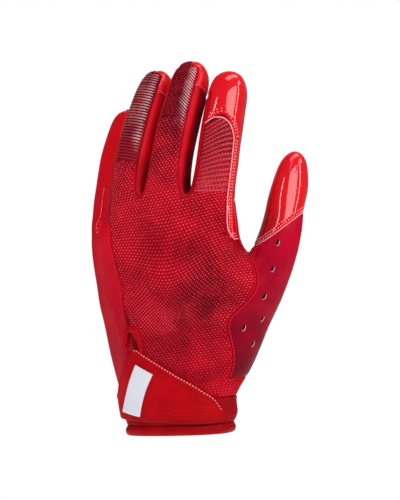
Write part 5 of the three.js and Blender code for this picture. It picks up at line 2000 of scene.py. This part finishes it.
# Holes of the punched panel: column, and height as a share of the skin's length
VENT_HOLES = (
    (9.6, 0.785), (11.3, 0.853), (9.6, 0.674), (9.3, 0.557), (11.0, 0.686), (10.1, 0.459), (9.0, 0.421),
    (9.9, 0.352), (11.2, 0.404), (11.3, 0.540),
)


@dataclass
class VentHoles:
    """The oval holes of the punched panel, with a pale rim at one side: backing and a painted highlight."""

    cage: GloveCage
    surface: HandSurface
    skin: Skin
    shop: Shop
    half_width: float = 0.95
    half_length: float = 2.0
    lean: float = 18.0
    reach: float = 3.0
    sides: int = 20
    rim_samples: int = 15

    def build(self, panel: bpy.types.Object) -> None:
        """Cuts the holes into the panel and lays their rims.

        Args:
            panel: The punched panel.
        """
        places = self.skin.nearest(np.array([self.place(*hole) for hole in VENT_HOLES]))
        cutter, rims = Bundle(), Bundle()
        for place, normal in zip(places.points, places.normals):
            upright = unit(np.array([0.0, 0.0, 1.0]) - normal * normal[2])
            upright = turned(upright, normal, -self.lean)
            across = np.cross(upright, normal)
            angles = np.arange(self.sides) / self.sides * 2 * np.pi
            oval = self.oval(place, across, upright, angles)
            prism = np.vstack([oval - normal * self.reach, oval + normal * self.reach])
            walls = [list(face) for face in grid_faces(2, self.sides, closed=True)]
            ends = [list(range(self.sides))[::-1], list(range(self.sides, 2 * self.sides))]
            cutter.add(prism, walls + ends)
            # the pale rim runs round one side of the hole only: partly backing, partly a painted highlight
            path = self.oval(place, across, upright, np.radians(np.linspace(-125, 65, self.rim_samples)), 0.1)
            taper = 0.34 * np.sin(np.linspace(0.35, math.pi - 0.35, self.rim_samples))
            rims.add_tube(path, np.tile(normal, (self.rim_samples, 1)), taper, 0.3, lift=-0.12)
        self.cut(panel, cutter)
        rims.finish(self.shop, "vent_hole_rims", CUT_EDGE_BACKING_AND_HIGHLIGHT, "vent")

    def oval(self, place: Array, across: Array, upright: Array, angles: Array, inset: float = 0.0) -> Array:
        """Points at angles round a hole's edge, or at an inset inside it."""
        return place + np.outer(np.cos(angles), across) * (self.half_width - inset) \
            + np.outer(np.sin(angles), upright) * (self.half_length - inset)

    def place(self, column: float, share: float) -> Array:
        """Place of a hole; above the hand's own rows it follows the thumb's lowest ring."""
        height = self.cage.height(share)
        top = len(HAND_RINGS) - 3
        highest = self.surface.at(column, top)
        if height <= highest[2]:
            return self.surface.spots_at(np.array(column), np.array(height))[0]
        ring = self.cage.thumb_ring(THUMB_RINGS[0])
        corner = column - VENT_SEAM
        low = math.floor(corner)
        target = ring[low] + (ring[low + 1] - ring[low]) * (corner - low)
        return highest + (target - highest) * (height - highest[2]) / (target[2] - highest[2])

    def cut(self, panel: bpy.types.Object, cutter: Bundle) -> None:
        """Takes the cutter's prisms out of the panel."""
        mesh = bpy.data.meshes.new("hole_cutter")
        mesh.from_pydata(((np.vstack(cutter.points) - self.shop.shift) * MM).tolist(), [], cutter.faces)
        turn_outward(mesh)
        tool = placed("hole_cutter", mesh)
        holes = panel.modifiers.new("holes", "BOOLEAN")
        holes.object, holes.operation, holes.solver = tool, "DIFFERENCE", "EXACT"
        shown = panel.evaluated_get(bpy.context.evaluated_depsgraph_get())
        result = bpy.data.meshes.new_from_object(shown)
        panel.modifiers.clear()
        panel.data = result
        bpy.data.objects.remove(tool)
        result.shade_smooth()
        result.set_sharp_from_angle(angle=math.radians(50))


@dataclass(frozen=True)
class Softbox:
    """A soft rectangular light: its place from the aim and its size in metres, and its power."""

    name: str
    right: float
    front: float
    up: float
    width: float
    height: float
    watts: float

    def build(self, aim: Vector, right: Vector, ahead: Vector) -> None:
        """Adds the light, which faces the aim.

        Args:
            aim: Point that the camera looks at.
            right: The camera's direction to the right.
            ahead: The camera's direction of view.
        """
        lamp = bpy.data.lights.new(self.name, "AREA")
        lamp.shape = "RECTANGLE"
        lamp.size, lamp.size_y = self.width, self.height
        lamp.energy = self.watts
        holder = placed(self.name, lamp)
        holder.location = aim + right * self.right - ahead * self.front + Vector((0, 0, self.up))
        holder.rotation_euler = (aim - holder.location).to_track_quat("-Z", "Y").to_euler()


LIGHTS = (
    Softbox("key_softbox", 0.25, 0.85, 0.52, 1.0, 0.36, 5.8),
    Softbox("side_strip", 0.90, 0.38, 0.34, 0.10, 0.45, 1.6),
    Softbox("outer_strip", -0.80, 0.62, 0.48, 0.10, 0.34, 0.9),
    Softbox("rim_strip", -1.0, -0.15, -0.3, 0.2, 0.6, 1.2),
    Softbox("top_strip", 0.10, 0.12, 0.95, 1.10, 0.34, 4.6),
    Softbox("fill_softbox", -0.90, 0.70, -0.10, 0.8, 0.8, 0.7),
    Softbox("side_top", 0.78, 0.16, 0.62, 0.45, 0.22, 1.6),
    Softbox("back_softbox", 0.0, -1.0, 0.40, 0.70, 0.80, 1.6),
)


@dataclass
class Studio:
    """Camera, lights, surround and floor."""

    azimuth: float = 25.0
    distance: float = 1.1
    aim_right: float = 0.012
    aim_height: float = 0.1117
    field_height: float = 0.305
    sensor: float = 24.0
    surround: float = 0.14

    floor_radius: float = 1.75
    floor_height: float = -0.33
    floor_sides: int = 96

    def build(self) -> None:
        """Sets up the camera, the lights, the surround and the floor."""
        turn = math.radians(self.azimuth)
        right = Vector((math.cos(turn), math.sin(turn), 0))
        ahead = Vector((-math.sin(turn), math.cos(turn), 0))
        aim = right * self.aim_right + Vector((0, 0, self.aim_height))
        camera = bpy.data.cameras.new("camera")
        camera.sensor_fit = "VERTICAL"
        camera.sensor_height = self.sensor
        camera.lens = self.sensor * self.distance / self.field_height
        holder = placed("camera", camera)
        holder.location = aim - ahead * self.distance
        holder.rotation_euler = (math.radians(90), 0, turn)
        bpy.context.scene.camera = holder
        for light in LIGHTS:
            light.build(aim, right, ahead)
        self.world()
        self.floor()

    def world(self) -> None:
        """Makes the surround: white where the camera sees it, dim as a light."""
        bpy.context.scene.view_settings.view_transform = "Standard"
        world = bpy.data.worlds.new("studio_white")
        world.use_nodes = True
        tree = world.node_tree
        tree.nodes.clear()
        seen = add_node(tree, "ShaderNodeLightPath").outputs["Is Camera Ray"]
        strength = add_node(tree, "ShaderNodeMapRange", {"To Min": self.surround, "To Max": 1.0},
                            {"Value": seen})
        white = add_node(tree, "ShaderNodeBackground", {"Color": (1, 1, 1, 1)},
                         {"Strength": strength.outputs["Result"]})
        add_node(tree, "ShaderNodeOutputWorld", None, {"Surface": white.outputs["Background"]})
        bpy.context.scene.world = world

    def floor(self) -> None:
        """Adds the pale floor, well below the glove, which is held up."""
        mesh = bpy.data.meshes.new("floor")
        ring = [(self.floor_radius * math.cos(angle), self.floor_radius * math.sin(angle), self.floor_height)
                for angle in np.linspace(0, 2 * math.pi, self.floor_sides, endpoint=False)]
        mesh.from_pydata(ring, [], [list(range(self.floor_sides))])
        material = bpy.data.materials.new("pale_paper")
        material.use_nodes = True
        shader = material.node_tree.nodes["Principled BSDF"]
        shader.inputs["Base Color"].default_value = linear("#f4f4f4")
        shader.inputs["Roughness"].default_value = 0.9
        shader.inputs["Emission Color"].default_value = (1, 1, 1, 1)
        shader.inputs["Emission Strength"].default_value = 0.8
        mesh.materials.append(material)
        floor = placed("floor", mesh)


def main() -> None:
    """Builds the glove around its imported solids."""
    logging.basicConfig(level=logging.INFO, format="%(name)s %(message)s")
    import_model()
    Studio().build()
    cage = GloveCage()
    opening = HAND_RINGS[0]
    middle = cage.place((opening.outer_x + opening.inner_x) / 2, (opening.outer_y + opening.inner_y) / 2, 0)
    shop = Shop(np.array([middle[0], middle[1], 0.0]))
    surface = HandSurface(cage)
    skin = Skin(cage, surface)
    LOG.info("skin: %d points", len(skin.points))
    panels = SkinPanels(skin, shop).build()
    VentHoles(cage, surface, skin, shop).build(panels[Panel.VENT])
    Seams(skin, shop).build()
    BackKnit(skin, shop, cage).build()
    Details(cage, surface, skin, shop).build()
    Cuff(surface, shop, cage.size).build()
    Strap(surface, shop, cage.size).build()
    Tab(surface, shop, cage.size).build()


if __name__ == "__main__":
    main()
